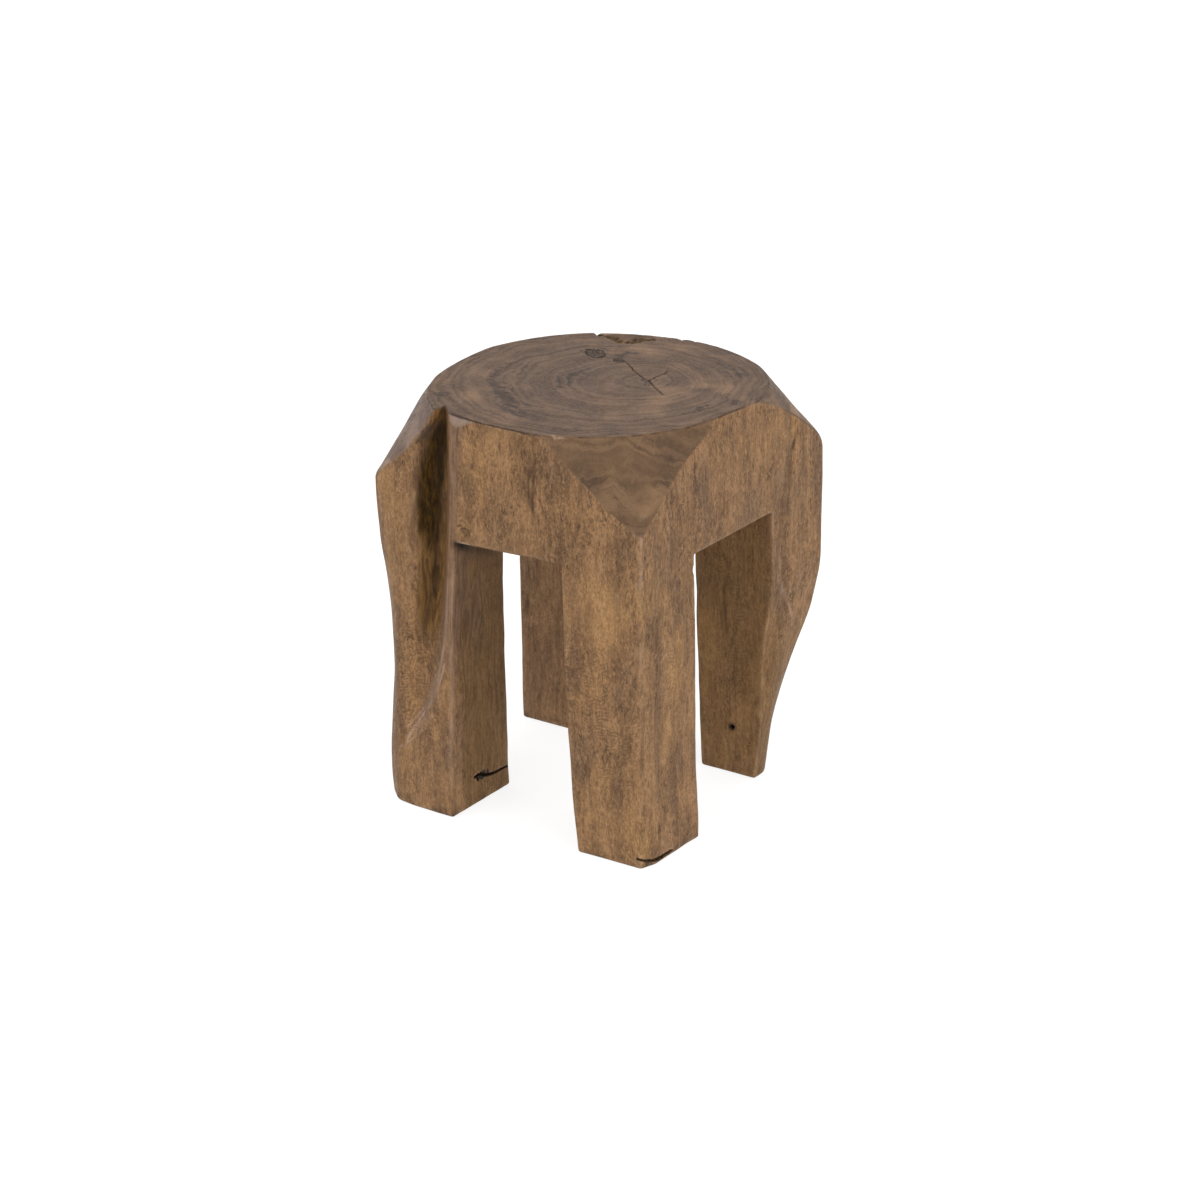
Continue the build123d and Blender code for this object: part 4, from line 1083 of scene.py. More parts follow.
    ([(-160, 78, 8), (-130, 78, 6), (-100, 78, 6)], 3.0, 0.6),
    # the two faces turned away
    ([(-168, 60, 440), (-168, 66, 380), (-168, 62, 320)], 7.0, 0.5),
    ([(-168, -20, 440), (-168, -24, 380), (-168, -18, 330)], 4.0, 0.5),
    ([(-168, -60, 430), (-168, -56, 380), (-168, -62, 330)], 9.0, 0.4),
    ([(-168, 30, 400), (-168, 26, 370), (-168, 20, 340)], 2.4, 0.6),
    ([(-167, 120, 330), (-166, 126, 220), (-165, 120, 90)], 6.0, 0.45),
    ([(-167, 96, 300), (-166, 100, 240), (-165, 92, 180)], 3.0, 0.5),
    ([(-168, -110, 360), (-167, -116, 240), (-167, -108, 120)], 5.0, 0.45),
    ([(-167, -140, 200), (-166, -136, 120), (-166, -130, 60)], 7.0, 0.4),
    ([(-166, -112, 60), (-166, -124, 30)], 10.0, 0.4),
    ([(40, 169, 440), (44, 169, 380), (38, 169, 325)], 7.0, 0.5),
    ([(-14, 169, 430), (-10, 169, 380), (-16, 169, 330)], 4.0, 0.45),
    ([(8, 169, 400), (12, 169, 372), (6, 169, 344)], 2.4, 0.6),
    ([(96, 170, 420), (100, 170, 320), (98, 168, 230)], 6.0, 0.4),
    ([(128, 170, 330), (124, 168, 270), (120, 164, 200)], 3.0, 0.5),
    ([(96, 158, 120), (98, 150, 60)], 8.0, 0.35),
    ([(-110, 168, 380), (-116, 167, 250), (-112, 164, 120)], 5.0, 0.5),
    ([(-140, 168, 330), (-138, 166, 180)], 3.0, 0.6),
    ([(-130, 163, 80), (-120, 162, 30)], 11.0, 0.4),
]
WARM = [
    (top_path([(86, 50), (94, 42)]), 17.0, 1.9), (top_path([(66, 4), (86, -12), (92, -40)]), 18.0, 1.5), (top_path([(110, 66), (124, 40)]), 14.0, 1.2), (top_path([(40, 18), (66, 20), (96, 18)]), 13.0, 1.2),
    (top_path([(-112, 44), (-96, 34)]), 18.0, 0.35), (top_path([(-30, 130), (10, 140)]), 18.0, 0.45), (top_path([(-84, 20), (-78, -6), (-74, -30)]), 8.0, 0.45),
    (top_path([(20, -40), (60, -48), (92, -60)]), 14.0, 0.7), (top_path([(-10, -150), (20, -150)]), 14.0, 0.15), (top_path([(-6, 40), (-14, 60)]), 12.0, 0.5),
    (fl_path([(-34, 436), (-36, 400), (-32, 350)]), 12.0, 0.8), (fl_path([(70, 400), (96, 360), (130, 330)]), 18.0, 0.7), (fl_path([(110, 300), (112, 200), (100, 150)]), 22.0, 0.7),
    (fl_path([(-56, 430), (-58, 380)]), 7.0, 0.7), (fl_path([(10, 420), (14, 380)]), 5.0, 0.6),
    (fl_path([(-148, 370), (-142, 300)]), 16.0, 1.3), (fl_path([(-150, 290), (-148, 220)]), 14.0, 0.8), (fl_path([(-130, 190), (-128, 130), (-140, 90)]), 16.0, 0.8), (fl_path([(-138, 270), (-132, 240)]), 10.0, 0.8),
    (fl_path([(130, 170), (140, 130), (132, 96)]), 10.0, 0.8), (fl_path([(-77, 270), (-77, 150), (-78, 30)]), 4.0, 1.0), (fl_path([(112, 110), (120, 84)]), 12.0, 0.5),
    (fr_path([(-150, 410), (-152, 380)]), 9.0, 0.9), (fr_path([(-128, 300), (-122, 220), (-100, 170)]), 13.0, 1.1), (fr_path([(-136, 180), (-120, 60)]), 24.0, 0.5), (fr_path([(-90, 290), (-96, 200)]), 12.0, 0.5), (fr_path([(-40, 430), (-30, 400), (-24, 360)]), 12.0, 0.8),
    (fr_path([(-104, 250), (-98, 220), (-96, 190)]), 8.0, 0.7), (fr_path([(-72, 170), (-74, 120)]), 5.0, 0.6), (fr_path([(12, 430), (14, 410)]), 12.0, 0.6),
    (fr_path([(-160, 36), (-158, 12)]), 8.0, 1.1), (fr_path([(120, 300), (140, 250)]), 16.0, 0.35), (fr_path([(130, 352), (140, 330)]), 12.0, 0.35),
    ([(72, 79, 200), (76, 80, 120), (80, 82, 80)], 12.0, 1.1), ([(-71, -128, 200), (-71, -130, 100)], 10.0, 0.6), ([(-71, -152, 30), (-71, -120, 16)], 12.0, 0.6),
    ([(-106, -154, 285), (-110, -160, 230), (-112, -164, 200)], 14.0, 1.0),
    ([(-168, -60, 400), (-168, -50, 340)], 22.0, 0.6), ([(-20, 169, 400), (-10, 169, 340)], 20.0, 0.6), ([(-166, 110, 220), (-165, 112, 80)], 16.0, 0.6),
    ([(130, 160, 260), (120, 155, 140)], 18.0, 0.6), ([(-130, 166, 200), (-128, 163, 80)], 16.0, 0.6),
]
# pale strokes: partly wear and chips, partly painted highlights along edges, the apron's lip and the hollow's shoulder
PALE = [
    (fl_path([(-77, 300), (-80, 240), (-84, 190), (-92, 150), (-106, 110), (-124, 84)]), 2.4, 0.65),
    (fl_path([(-92, 160), (-104, 124), (-120, 96)]), 5.0, 0.35),
    (fl_path([(-70, 440), (-72, 400), (-74, 350), (-76, 310)]), 2.2, 0.18),
    ([(50, -164.5, 448.6), (58, -164.8, 448.6), (69, -160.5, 448.6)], 1.6, 1.3),
    ([(160.8, -166, 250), (160.8, -166, 225)], 1.6, 0.9),
    ([(160.8, -166, 340), (160.8, -166, 310)], 1.6, 0.7),
    ([(160.8, -166, 190), (160.8, -166, 180)], 1.4, 0.7),
    ([(160.5, -167.5, 366), (160.6, -167, 352)], 2.0, 0.7),
    ([(160, -146, 384), (148, -156, 379)], 1.6, 0.5),
    (fr_path([(88, 300), (87, 260), (96, 230), (112, 200)]), 2.6, 0.6),
    (fr_path([(112, 204), (122, 186), (130, 170)]), 1.8, 0.8),
    ([(146, 88, 150), (142, 88, 110), (140, 88, 60)], 2.2, 0.6),
    ([(162, -70, 318), (163, -20, 317), (163, 40, 319)], 1.8, 0.35),
    ([(-60, -172, 314), (-44, -171, 313)], 1.8, 0.6),
    ([(-166, -100, 400), (-160, -150, 380)], 3.0, 0.5),
    ([(-71, -172, 300), (-71, -172, 160), (-74, -174, 40)], 2.0, 0.45),
]
SCRATCHES = [
    ([(-81, 174), (-89, 148), (-99, 126), (-116, 103), (-128, 85), (-138, 64)], 2.0, 0.95),
    ([(-97, 112), (-111, 92), (-128, 75), (-143, 63)], 1.6, 0.85),
    ([(-114, 113), (-125, 99), (-134, 88)], 1.5, 0.80),
]
STAIN_WAVE = waves(41, 16, 6, 22, (1, 1, 2.5))
STAIN_SLOW = waves(42, 14, 30, 110, (1, 1, 2.2))
PATCH_WAVE = waves(43, 14, 40, 160, (1, 1, 1.6))


def hollow_depth(x, y, z):
    """How far behind the line between its two shoulders a point of the left hollow lies, and how far across (0 to 1)."""
    zs = [r[0] for r in LEFT]
    a = np.stack([np.interp(z, zs, [r[1][3][k] for r in LEFT]) for k in (0, 1)], 1)
    b = np.stack([np.interp(z, zs, [r[1][7][k] for r in LEFT]) for k in (0, 1)], 1)
    t = b - a
    long = np.maximum(np.linalg.norm(t, axis=1), 1e-6)
    t = t / long[:, None]
    q = np.stack([x, y], 1) - a
    return q[:, 1] * t[:, 0] - q[:, 0] * t[:, 1], (q * t).sum(1) / long


def paint(obj, p):
    h = 4.0
    around = np.zeros(len(p))
    here = evaluate(p)
    g = np.empty((len(p), 3))
    for k in range(3):
        e = np.zeros(3)
        e[k] = h
        a, b2 = evaluate(p + e), evaluate(p - e)
        around += a + b2
        g[:, k] = a - b2
    curve = (around / 6 - here) / (0.33 * h)
    n = g / np.maximum(np.linalg.norm(g, axis=1), 1e-6)[:, None]
    x, y, z = p.T
    wander = 2.2 * STAIN_WAVE(p)
    stain_and_shade = np.zeros(len(p))
    for path, width, strength in STAINS_AND_SHADOWS:
        s = stroke(p, path, width, strength, wander)
        stain_and_shade = stain_and_shade + s * (1 - stain_and_shade * 0.6)
    stain_and_shade *= 0.85 + 0.5 * STAIN_WAVE(p * 1.7)
    warm = 0.5 + 0.24 * PATCH_WAVE(p)
    for path, width, strength in WARM:
        warm += 0.42 * stroke(p, path, width, strength, wander)
    warm += 0.30 * ((y > 60) & (x < -60) & (z < 330) & (x + y > -60))
    pale = np.zeros(len(p))
    for path, width, strength in PALE:
        pale = np.maximum(pale, stroke(p, path, width, strength, wander * 0.4))
    for line, width, strength in SCRATCHES:
        m = (y < -140) & (z < 200) & (x < -60)
        d, _ = to_path(np.stack([x[m], np.zeros(m.sum()), z[m]], 1), [(a, 0, b) for a, b in line])
        pale[m] = np.maximum(pale[m], strength * smooth(width, 0.2 * width, d) * (0.7 + 0.5 * STAIN_WAVE(p[m])))
    # the natural hollow of the left leg: dark at the top, partly bark and partly painted shade that deepens with depth,
    # amber with dark streaks below
    depth, across = hollow_depth(x, y, z)
    inside = (across > -0.25) & (across < 1.25) & (y < -120) & (z > 90) & (z < 448.4) & (n[:, 2] < 0.55)
    depth = np.where(inside, depth + 0.6 * STAIN_WAVE(p * 0.8), -9)
    across = across + 0.03 * STAIN_WAVE(p * 0.7)
    deep = smooth(0.5, 7.0, depth)
    across = across - np.interp(z, [360, 400, 430, 450], [0.0, 0.10, 0.20, 0.26])
    upper = smooth(258, 348, z + 9 * STAIN_WAVE(p * 0.5) + 40 * (across - 0.3)) * smooth(446, 414, z + 60 * np.maximum(0.30 - across, 0))
    core = np.exp(-(((across - 0.37) / 0.14) ** 2))
    amber = smooth(0.12, 0.24, across) * deep * smooth(178, 214, z) * smooth(0.72, 0.50, across)
    amber = np.maximum(amber, 0.55 * deep * smooth(190, 225, z) * smooth(0.90, 0.70, across) * smooth(0.4, 0.6, across))
    dark = deep * upper * (0.58 * smooth(-0.06, 0.22, across) * smooth(0.56, 0.44, across) + 0.42 * core * smooth(0.62, 0.48, across) + 0.18) * (1.0 + 0.16 * STAIN_WAVE(p))
    streak = np.exp(-(((across - 0.43 - 0.03 * np.sin(z / 11.0)) / 0.045) ** 2)) * smooth(214, 240, z) * smooth(446, 430, z)
    dark = np.maximum(dark, 0.58 * streak * smooth(3.0, 8.0, depth) * (0.85 + 0.35 * STAIN_WAVE(p)))
    lip = np.exp(-(((across - 0.80) / 0.030) ** 2)) * smooth(290, 350, z) * smooth(447, 432, z)
    dark = np.maximum(dark, 0.40 * lip * deep)
    # painted shade where the lobe's rounded shoulder turns away into the hollow, kept with the stains
    turn = np.exp(-(((across - 0.06) / 0.15) ** 2)) * (y < -125) * smooth(236, 320, z) * smooth(436, 410, z)
    stain_and_shade = np.maximum(stain_and_shade, 0.62 * turn)
    mauve = 0.95 * smooth(0.70, 0.84, across) * smooth(1.34, 1.16, across) * (y < -120) * (z < 448) * smooth(150, 230, z)
    mauve = np.maximum(mauve, 0.55 * ((y > 60) & (x < -60) & (z < 330)))
    hollow = np.clip(deep * smooth(150, 230, z) * smooth(0.70, 0.50, across), 0, 1)
    dark = np.maximum(dark, 0)
    seat = grid_look(SEAT, x, y)
    low = HEIGHT - seat
    pocket = smooth(1.0, 3.4, low) * (z > 425) * (y > 100) * (x < 10)
    dark = np.maximum(dark, pocket * (0.62 + 0.4 * smooth(4.5, 9.0, low) + 0.20 * STAIN_WAVE(p)))
    crack = smooth(6.0, 9.5, low) * (z > 425) * (y > 100) * (x < 10)
    small = 0.80 * (smooth(0.9, 2.0, low) * (z > 440) * (np.hypot(x, y) < 118))
    crack = np.maximum(crack, small)
    m = (x < -55) & (z < 60) & (y < -60)
    for path, radius, tip in CRACKS:
        d, along = to_path(p[m] * np.array([0.25, 1, 1]), path * np.array([0.25, 1, 1]))
        crack[m] = np.maximum(crack[m], smooth(tip + (radius - tip) * smooth(1.0, 0.5, along) + 1.2, tip - 0.2, d))
    d = np.hypot(x - 110, z - 56) + 0.7 * STAIN_WAVE(p * 2)
    crack = np.maximum(crack, smooth(4.2, 2.4, d) * (np.abs(y - 84) < 12))
    stain_and_shade = np.maximum(stain_and_shade, 0.8 * smooth(9.0, 3.5, d) * (np.abs(y - 84) < 8))
    d, _ = to_path(p, [(80, -166, 118), (84, -166, 115), (92, -166, 121), (97, -166, 126), (103, -166, 121), (111.5, -166, 122), (124, -166, 124)])
    crack = np.maximum(crack, 0.75 * smooth(1.5, 0.4, d))
    m = (x > 155) & (y < -100) & (z < 22)
    tear = np.full(len(p), 9.0)
    tear[m] = signed_polygon(y[m], z[m], CHIP)
    dark = np.maximum(dark, 1.1 * smooth(0.6, -0.6, tear))
    crack = np.maximum(crack, 0.7 * smooth(0.2, -1.2, tear) * (0.6 + 0.6 * STAIN_WAVE(p * 2.2)))
    # darker in patches along the lowest 10 mm of the legs
    bottom_band = smooth(10, 2.5, z + 2.0 * STAIN_WAVE(p * 1.1)) * smooth(-0.35, 0.45, STAIN_WAVE(p * 0.9 + 30.0))
    crack = np.maximum(crack, 0.42 * bottom_band * (n[:, 2] > -0.9))
    # knotty start of the check in the left foot
    d = np.hypot((y + 122) / 13.0, (z - 30.4) / 5.2) + 0.34 * STAIN_WAVE(p * 2.2)
    crack = np.maximum(crack, 0.92 * smooth(1.02, 0.72, d) * (np.abs(x + 71) < 6))
    # small curl at the apron's lower corner, and painted shadow on the tunnel wall under that corner and along the
    # apron's lower edge
    d = np.hypot(x + 53, z - 324.5)
    curl = np.maximum(smooth(1.3, 0.3, np.abs(d - 5.8)) * smooth(-3.5, 1.5, z - 324.5 + 0.4 * (x + 53)), 0.7 * smooth(1.1, 0.3, np.abs(d - 2.7)))
    crack = np.maximum(crack, 0.50 * curl * (y < -164))
    # painted shadow under the apron's left end and along its lower edge
    for path, width, strength in (([(-66.5, -174, 312), (-66.5, -158, 304), (-67, -144, 297)], 5.4, 1.0), ([(-66.5, -164, 306), (-67, -134, 292), (-68, -100, 278)], 6.0, 0.50),
                                  ([(-62, -168, 311.5), (-50, -167, 311.5), (-30, -167, 312)], 1.8, 0.55)):
        crack = np.maximum(crack, stroke(p, path, width, strength, wander * 0.4))
    # inside the tunnels, away from the faces, and under the ceilings: painted shade
    inner = smooth(2, 16, 166 - np.maximum(np.abs(x), np.abs(y))) * (z < 322) * (n[:, 2] < 0.4)
    inner = inner * np.where(y > 60, np.where(x < -60, 0.20, 0.66), 1.0)
    inner = np.maximum(inner, (n[:, 2] < -0.7) * (z > 280) * 1.0)
    # fingerprint ripples and curls: where the grain is interlocked
    ripple = smooth(60, 110, z) * smooth(300, 210, z) * (0.55 + 0.9 * STAIN_SLOW(p + 50.0))
    curls = 0.42 + 0.75 * STAIN_SLOW(p * 1.6 - 90.0) + 0.25 * smooth(300, 360, z)
    # convex edges lighter, partly wear and partly painted highlight
    wear_and_highlight = np.clip(curve, 0, 1.2) * (0.55 + 0.6 * STAIN_WAVE(p * 0.9)) * (1 - hollow)
    # concave places darker: painted shade
    crevice_shade = np.clip(-curve, 0, 1.2)
    for name, values in (("paint_a", (stain_and_shade, dark, wear_and_highlight)), ("paint_b", (inner, warm, crack)), ("paint_c", (crevice_shade, mauve, amber)), ("paint_d", (pale, ripple, curls))):
        data = np.ones((len(p), 4), np.float32)
        for k in range(3):
            data[:, k] = np.clip(values[k], 0, 1.5)
        a = obj.data.attributes.get(name) or obj.data.attributes.new(name, "FLOAT_COLOR", "POINT")
        a.data.foreach_set("color", data.ravel())


points, _ = read_mesh(body.data)
points *= 1000.0
paint(body, points)
body.data.transform(Matrix.Translation(Vector(SHIFT / 1000.0)))
print("carved_wood faces", len(body.data.polygons))
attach(body, "root")
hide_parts("carved_body")


# ---------------------------------------------------------------------------------------------
# materials
# ---------------------------------------------------------------------------------------------
class Nodes:
    """Short names for building a material's nodes."""

    def __init__(self, name):
        self.material = bpy.data.materials.new(name)
        self.material.use_nodes = True
        self.tree = self.material.node_tree
        self.shader = self.tree.nodes["Principled BSDF"]
        self.at = 0

    def node(self, kind, **settings):
        n = self.tree.nodes.new(kind)
        self.at += 1
        n.location = (-200 * (self.at % 12) - 300, -180 * (self.at // 12))
        for k, v in settings.items():
            setattr(n, k, v)
        return n

    def put(self, socket, value):
        if isinstance(value, bpy.types.NodeSocket):
            self.tree.links.new(value, socket)
        elif value is not None:
            if hasattr(socket.default_value, "__len__") and not hasattr(value, "__len__"):
                value = [value] * len(socket.default_value)
            if hasattr(socket.default_value, "__len__") and len(socket.default_value) == 4 and len(value) == 3:
                value = list(value) + [1.0]
            socket.default_value = value

    def math(self, op, a, b=None, c=None, clamp=False):
        n = self.node("ShaderNodeMath", operation=op, use_clamp=clamp)
        for i, v in enumerate((a, b, c)):
            if v is not None:
                self.put(n.inputs[i], v)
        return n.outputs[0]

    def vec(self, op, a, b=None, scale=None):
        n = self.node("ShaderNodeVectorMath", operation=op)
        self.put(n.inputs[0], a)
        if b is not None:
            self.put(n.inputs[1], b)
        if scale is not None:
            self.put(n.inputs["Scale"], scale)
        return n.outputs["Value"] if op in ("DOT_PRODUCT", "LENGTH", "DISTANCE") else n.outputs["Vector"]

    def noise(self, vector, scale=1.0, detail=2.0, rough=0.5, lac=2.0, distortion=0.0, color=False):
        n = self.node("ShaderNodeTexNoise", noise_dimensions="3D")
        self.put(n.inputs["Vector"], vector)
        n.inputs["Scale"].default_value = scale
        n.inputs["Detail"].default_value = detail
        n.inputs["Roughness"].default_value = rough
        n.inputs["Lacunarity"].default_value = lac
        n.inputs["Distortion"].default_value = distortion
        return n.outputs["Color" if color else "Fac"]

    def noise1(self, w, scale=1.0, detail=2.0, rough=0.5):
        n = self.node("ShaderNodeTexNoise", noise_dimensions="1D")
        self.put(n.inputs["W"], w)
        n.inputs["Scale"].default_value = scale
        n.inputs["Detail"].default_value = detail
        n.inputs["Roughness"].default_value = rough
        return n.outputs["Fac"]

    def cells(self, vector, feature="F1", rand=1.0):
        n = self.node("ShaderNodeTexVoronoi", feature=feature)
        self.put(n.inputs["Vector"], vector)
        n.inputs["Scale"].default_value = 1.0
        n.inputs["Randomness"].default_value = rand
        return n

    def span(self, value, a, b, c=0.0, d=1.0, smooth_step=True):
        n = self.node("ShaderNodeMapRange", clamp=True, interpolation_type="SMOOTHSTEP" if smooth_step else "LINEAR")
        for i, v in enumerate((value, a, b, c, d)):
            self.put(n.inputs[i], v)
        return n.outputs[0]

    def mix(self, factor, a, b, kind="MIX"):
        n = self.node("ShaderNodeMix", data_type="RGBA", blend_type=kind, clamp_factor=True)
        self.put(n.inputs[0], factor)
        self.put(n.inputs[6], a)
        self.put(n.inputs[7], b)
        return n.outputs[2]

    def attribute(self, name):
        n = self.node("ShaderNodeAttribute", attribute_name=name, attribute_type="GEOMETRY")
        s = self.node("ShaderNodeSeparateColor")
        self.tree.links.new(n.outputs["Color"], s.inputs[0])
        return s.outputs[0], s.outputs[1], s.outputs[2]

    def bump(self, height, distance, strength=1.0, normal=None):
        n = self.node("ShaderNodeBump")
        n.inputs["Strength"].default_value = strength
        n.inputs["Distance"].default_value = distance
        self.put(n.inputs["Height"], height)
        if normal is not None:
            self.put(n.inputs["Normal"], normal)
        return n.outputs[0]

    def millimetres(self):
        n = self.node("ShaderNodeTexCoord")
        return self.vec("SCALE", n.outputs["Object"], scale=1000.0), n


SIDE_GAIN = (0.835, 0.822, 0.855)
TOP_GAIN = (1.0, 0.97, 0.95)
PITH = (38.0 + SHIFT[0], 30.0 + SHIFT[1])
ECCENTRIC = (-38.0 / 178.0, -30.0 / 178.0)


def wood_material():
    w = Nodes("carved_wood")
    pos, tc = w.millimetres()
    stain_and_shade, dark, wear_and_highlight = w.attribute("paint_a")
    inner, warm, crack = w.attribute("paint_b")
    crevice_shade, mauve, amber = w.attribute("paint_c")
    pale, ripple, curls = w.attribute("paint_d")
    geo = w.node("ShaderNodeNewGeometry")
    sep_n = w.node("ShaderNodeSeparateXYZ")
    w.tree.links.new(geo.outputs["True Normal"], sep_n.inputs[0])
    end = w.span(w.math("ABSOLUTE", sep_n.outputs[2]), 0.24, 0.46)

    def scaled(v, sx, sy, sz):
        return w.vec("MULTIPLY", v, (1.0 / sx, 1.0 / sy, 1.0 / sz))

    def centred(v, size):
        return w.vec("SCALE", w.vec("SUBTRACT", v, (0.5, 0.5, 0.5)), scale=size)

    # the log's own figure: a slow warp, a finer curl and a long grain warp
    warp = centred(w.noise(scaled(pos, 70, 70, 210), detail=1.5, color=True), 34.0)
    curl = centred(w.noise(scaled(pos, 17, 17, 42), detail=1.5, color=True), 9.5)
    tiny = centred(w.noise(scaled(pos, 5, 5, 13), detail=1.0, color=True), 2.4)
    flow = w.vec("ADD", pos, centred(w.noise(scaled(pos, 30, 30, 70), detail=1.5, rough=0.5, color=True), 26.0))
    grain = w.vec("ADD", pos, w.vec("ADD", warp, w.vec("ADD", curl, tiny)))

    # growth rings: circles that start at the pith and drift towards the middle of the log
    q = w.vec("MULTIPLY", w.vec("SUBTRACT", grain, (PITH[0], PITH[1], 0)), (1, 1, 0))
    k = (ECCENTRIC[0], ECCENTRIC[1], 0)
    kk = ECCENTRIC[0] ** 2 + ECCENTRIC[1] ** 2
    qk = w.vec("DOT_PRODUCT", q, k)
    qq = w.vec("DOT_PRODUCT", q, q)
    root = w.math("SQRT", w.math("ADD", w.math("MULTIPLY", qk, qk), w.math("MULTIPLY", qq, 1 - kk)))
    ring = w.math("DIVIDE", w.math("SUBTRACT", root, qk), 1 - kk)
    broad = w.noise1(ring, 1 / 15.0, 2.0, 0.6)
    band_r = w.noise1(w.math("ADD", ring, 900.0), 1 / 7.0, 1.5, 0.5)
    fine = w.noise1(ring, 1 / 4.6, 2.0, 0.55)
    hair = w.noise1(w.math("ADD", ring, 400.0), 1 / 1.7, 1.0, 0.5)

    # long fibres, smudges and marks of the sides
    smudge = w.noise(scaled(w.vec("ADD", pos, w.vec("SCALE", curl, scale=1.2)), 19, 19, 110), detail=2.0, rough=0.5)
    smudge2 = w.noise(scaled(flow, 7.5, 7.5, 75), detail=1.5, rough=0.5)
    blotch = w.noise(scaled(grain, 26, 26, 34), detail=2.5, rough=0.6)
    fibre = w.noise(scaled(flow, 3.4, 3.4, 95), detail=2.5, rough=0.58)
    thread = w.noise(scaled(w.vec("ADD", flow, w.vec("SCALE", tiny, scale=0.4)), 1.4, 1.4, 26), detail=2.0, rough=0.55)
    pore = w.noise(scaled(w.vec("ADD", pos, w.vec("SCALE", curl, scale=0.9)), 2.0, 2.0, 6.0), detail=1.0, rough=0.5)
    pores = w.span(pore, 0.56, 0.63)
    speck = w.noise(scaled(pos, 2.1, 2.1, 3.4), detail=2.0, rough=0.65)
    mottle = w.noise(scaled(grain, 5.5, 5.5, 9.0), detail=3.0, rough=0.65)
    # curls: thin contour lines of a warped noise
    curly = w.noise(scaled(w.vec("ADD", flow, w.vec("SCALE", tiny, scale=1.5)), 6.6, 6.6, 19.0), detail=1.5, rough=0.5, distortion=0.9)
    line_a = w.span(w.math("ABSOLUTE", w.math("SUBTRACT", curly, 0.5)), 0.056, 0.018)
    line_b = w.math("MAXIMUM", w.span(w.math("ABSOLUTE", w.math("SUBTRACT", curly, 0.61)), 0.048, 0.016), w.span(w.math("ABSOLUTE", w.math("SUBTRACT", curly, 0.39)), 0.048, 0.016))
    marks = w.math("MULTIPLY", w.math("MAXIMUM", line_a, w.math("MULTIPLY", line_b, 0.8)), w.span(curls, 0.18, 0.62))
    marks = w.math("MULTIPLY", marks, w.math("MULTIPLY", w.span(smudge2, 0.40, 0.56, 0.12, 1.0), w.span(mottle, 0.40, 0.56, 0.30, 1.0)))
    worm = w.noise(scaled(w.vec("ADD", pos, w.vec("SCALE", tiny, scale=0.8)), 3.7, 3.7, 5.2), detail=1.0, rough=0.5, distortion=1.1)
    worms = w.math("MULTIPLY", w.span(w.math("ABSOLUTE", w.math("SUBTRACT", worm, 0.5)), 0.085, 0.025), w.span(w.math("ADD", mottle, w.math("MULTIPLY", smudge2, 0.6)), 0.66, 0.90, 0.25, 1.0))
    # fingerprint ripples across the grain
    wavy = w.noise(scaled(pos, 30, 30, 34), detail=2.0, color=False)
    sep_p = w.node("ShaderNodeSeparateXYZ")
    w.tree.links.new(pos, sep_p.inputs[0])
    phase = w.math("ADD", w.math("MULTIPLY", sep_p.outputs[2], 1.0), w.math("MULTIPLY", w.math("ADD", sep_p.outputs[0], sep_p.outputs[1]), -0.25))
    phase = w.math("ADD", phase, w.math("MULTIPLY", wavy, 44.0))
    band = w.math("SINE", w.math("MULTIPLY", phase, 2 * math.pi / 4.6))
    band = w.math("MULTIPLY", w.span(band, -0.1, 0.9), w.span(mottle, 0.36, 0.56))
    band = w.math("MULTIPLY", band, w.span(ripple, 0.25, 0.85))

    # long grain colours
    light = (0.330, 0.182, 0.080)
    middle = (0.205, 0.108, 0.046)
    deep = (0.092, 0.049, 0.024)
    grey = (0.150, 0.096, 0.058)
    tone = w.math("ADD", w.math("MULTIPLY", smudge, 0.85), w.math("MULTIPLY", smudge2, 0.75))
    tone = w.math("ADD", tone, w.math("MULTIPLY", broad, 0.55))
    tone = w.math("ADD", tone, w.math("MULTIPLY", blotch, 0.55))
    side = w.mix(w.span(tone, 1.10, 1.52), middle, light)
    side = w.mix(w.math("MULTIPLY", w.span(tone, 1.32, 1.04), 0.42), side, grey)
    side = w.mix(w.math("MULTIPLY", w.span(fine, 0.56, 0.74), 0.30), side, deep)
    side = w.mix(w.math("MULTIPLY", w.span(fibre, 0.52, 0.74), 0.30), side, deep)
    side = w.mix(w.math("MULTIPLY", w.span(fibre, 0.46, 0.28), 0.34), side, (0.40, 0.245, 0.120))
    side = w.mix(w.math("MULTIPLY", w.span(mottle, 0.50, 0.68), 0.12), side, (0.120, 0.064, 0.030))
    side = w.mix(w.math("MULTIPLY", w.span(mottle, 0.46, 0.32), 0.10), side, (0.44, 0.265, 0.120))
    side = w.mix(w.math("MULTIPLY", w.span(thread, 0.50, 0.70), 0.20), side, (0.075, 0.042, 0.022))
    side = w.mix(w.math("MULTIPLY", w.span(speck, 0.52, 0.64), 0.28), side, (0.085, 0.047, 0.024))
    side = w.mix(w.math("MULTIPLY", w.span(speck, 0.47, 0.36), 0.28), side, (0.44, 0.28, 0.145))
    side = w.mix(w.math("MULTIPLY", pores, 0.30), side, (0.060, 0.035, 0.020))
    side = w.mix(w.math("MULTIPLY", worms, 0.36), side, (0.098, 0.052, 0.024))
    side = w.mix(w.math("MULTIPLY", band, 0.50), side, (0.085, 0.047, 0.024))
    side = w.mix(w.math("MULTIPLY", marks, 0.72), side, (0.066, 0.036, 0.018))

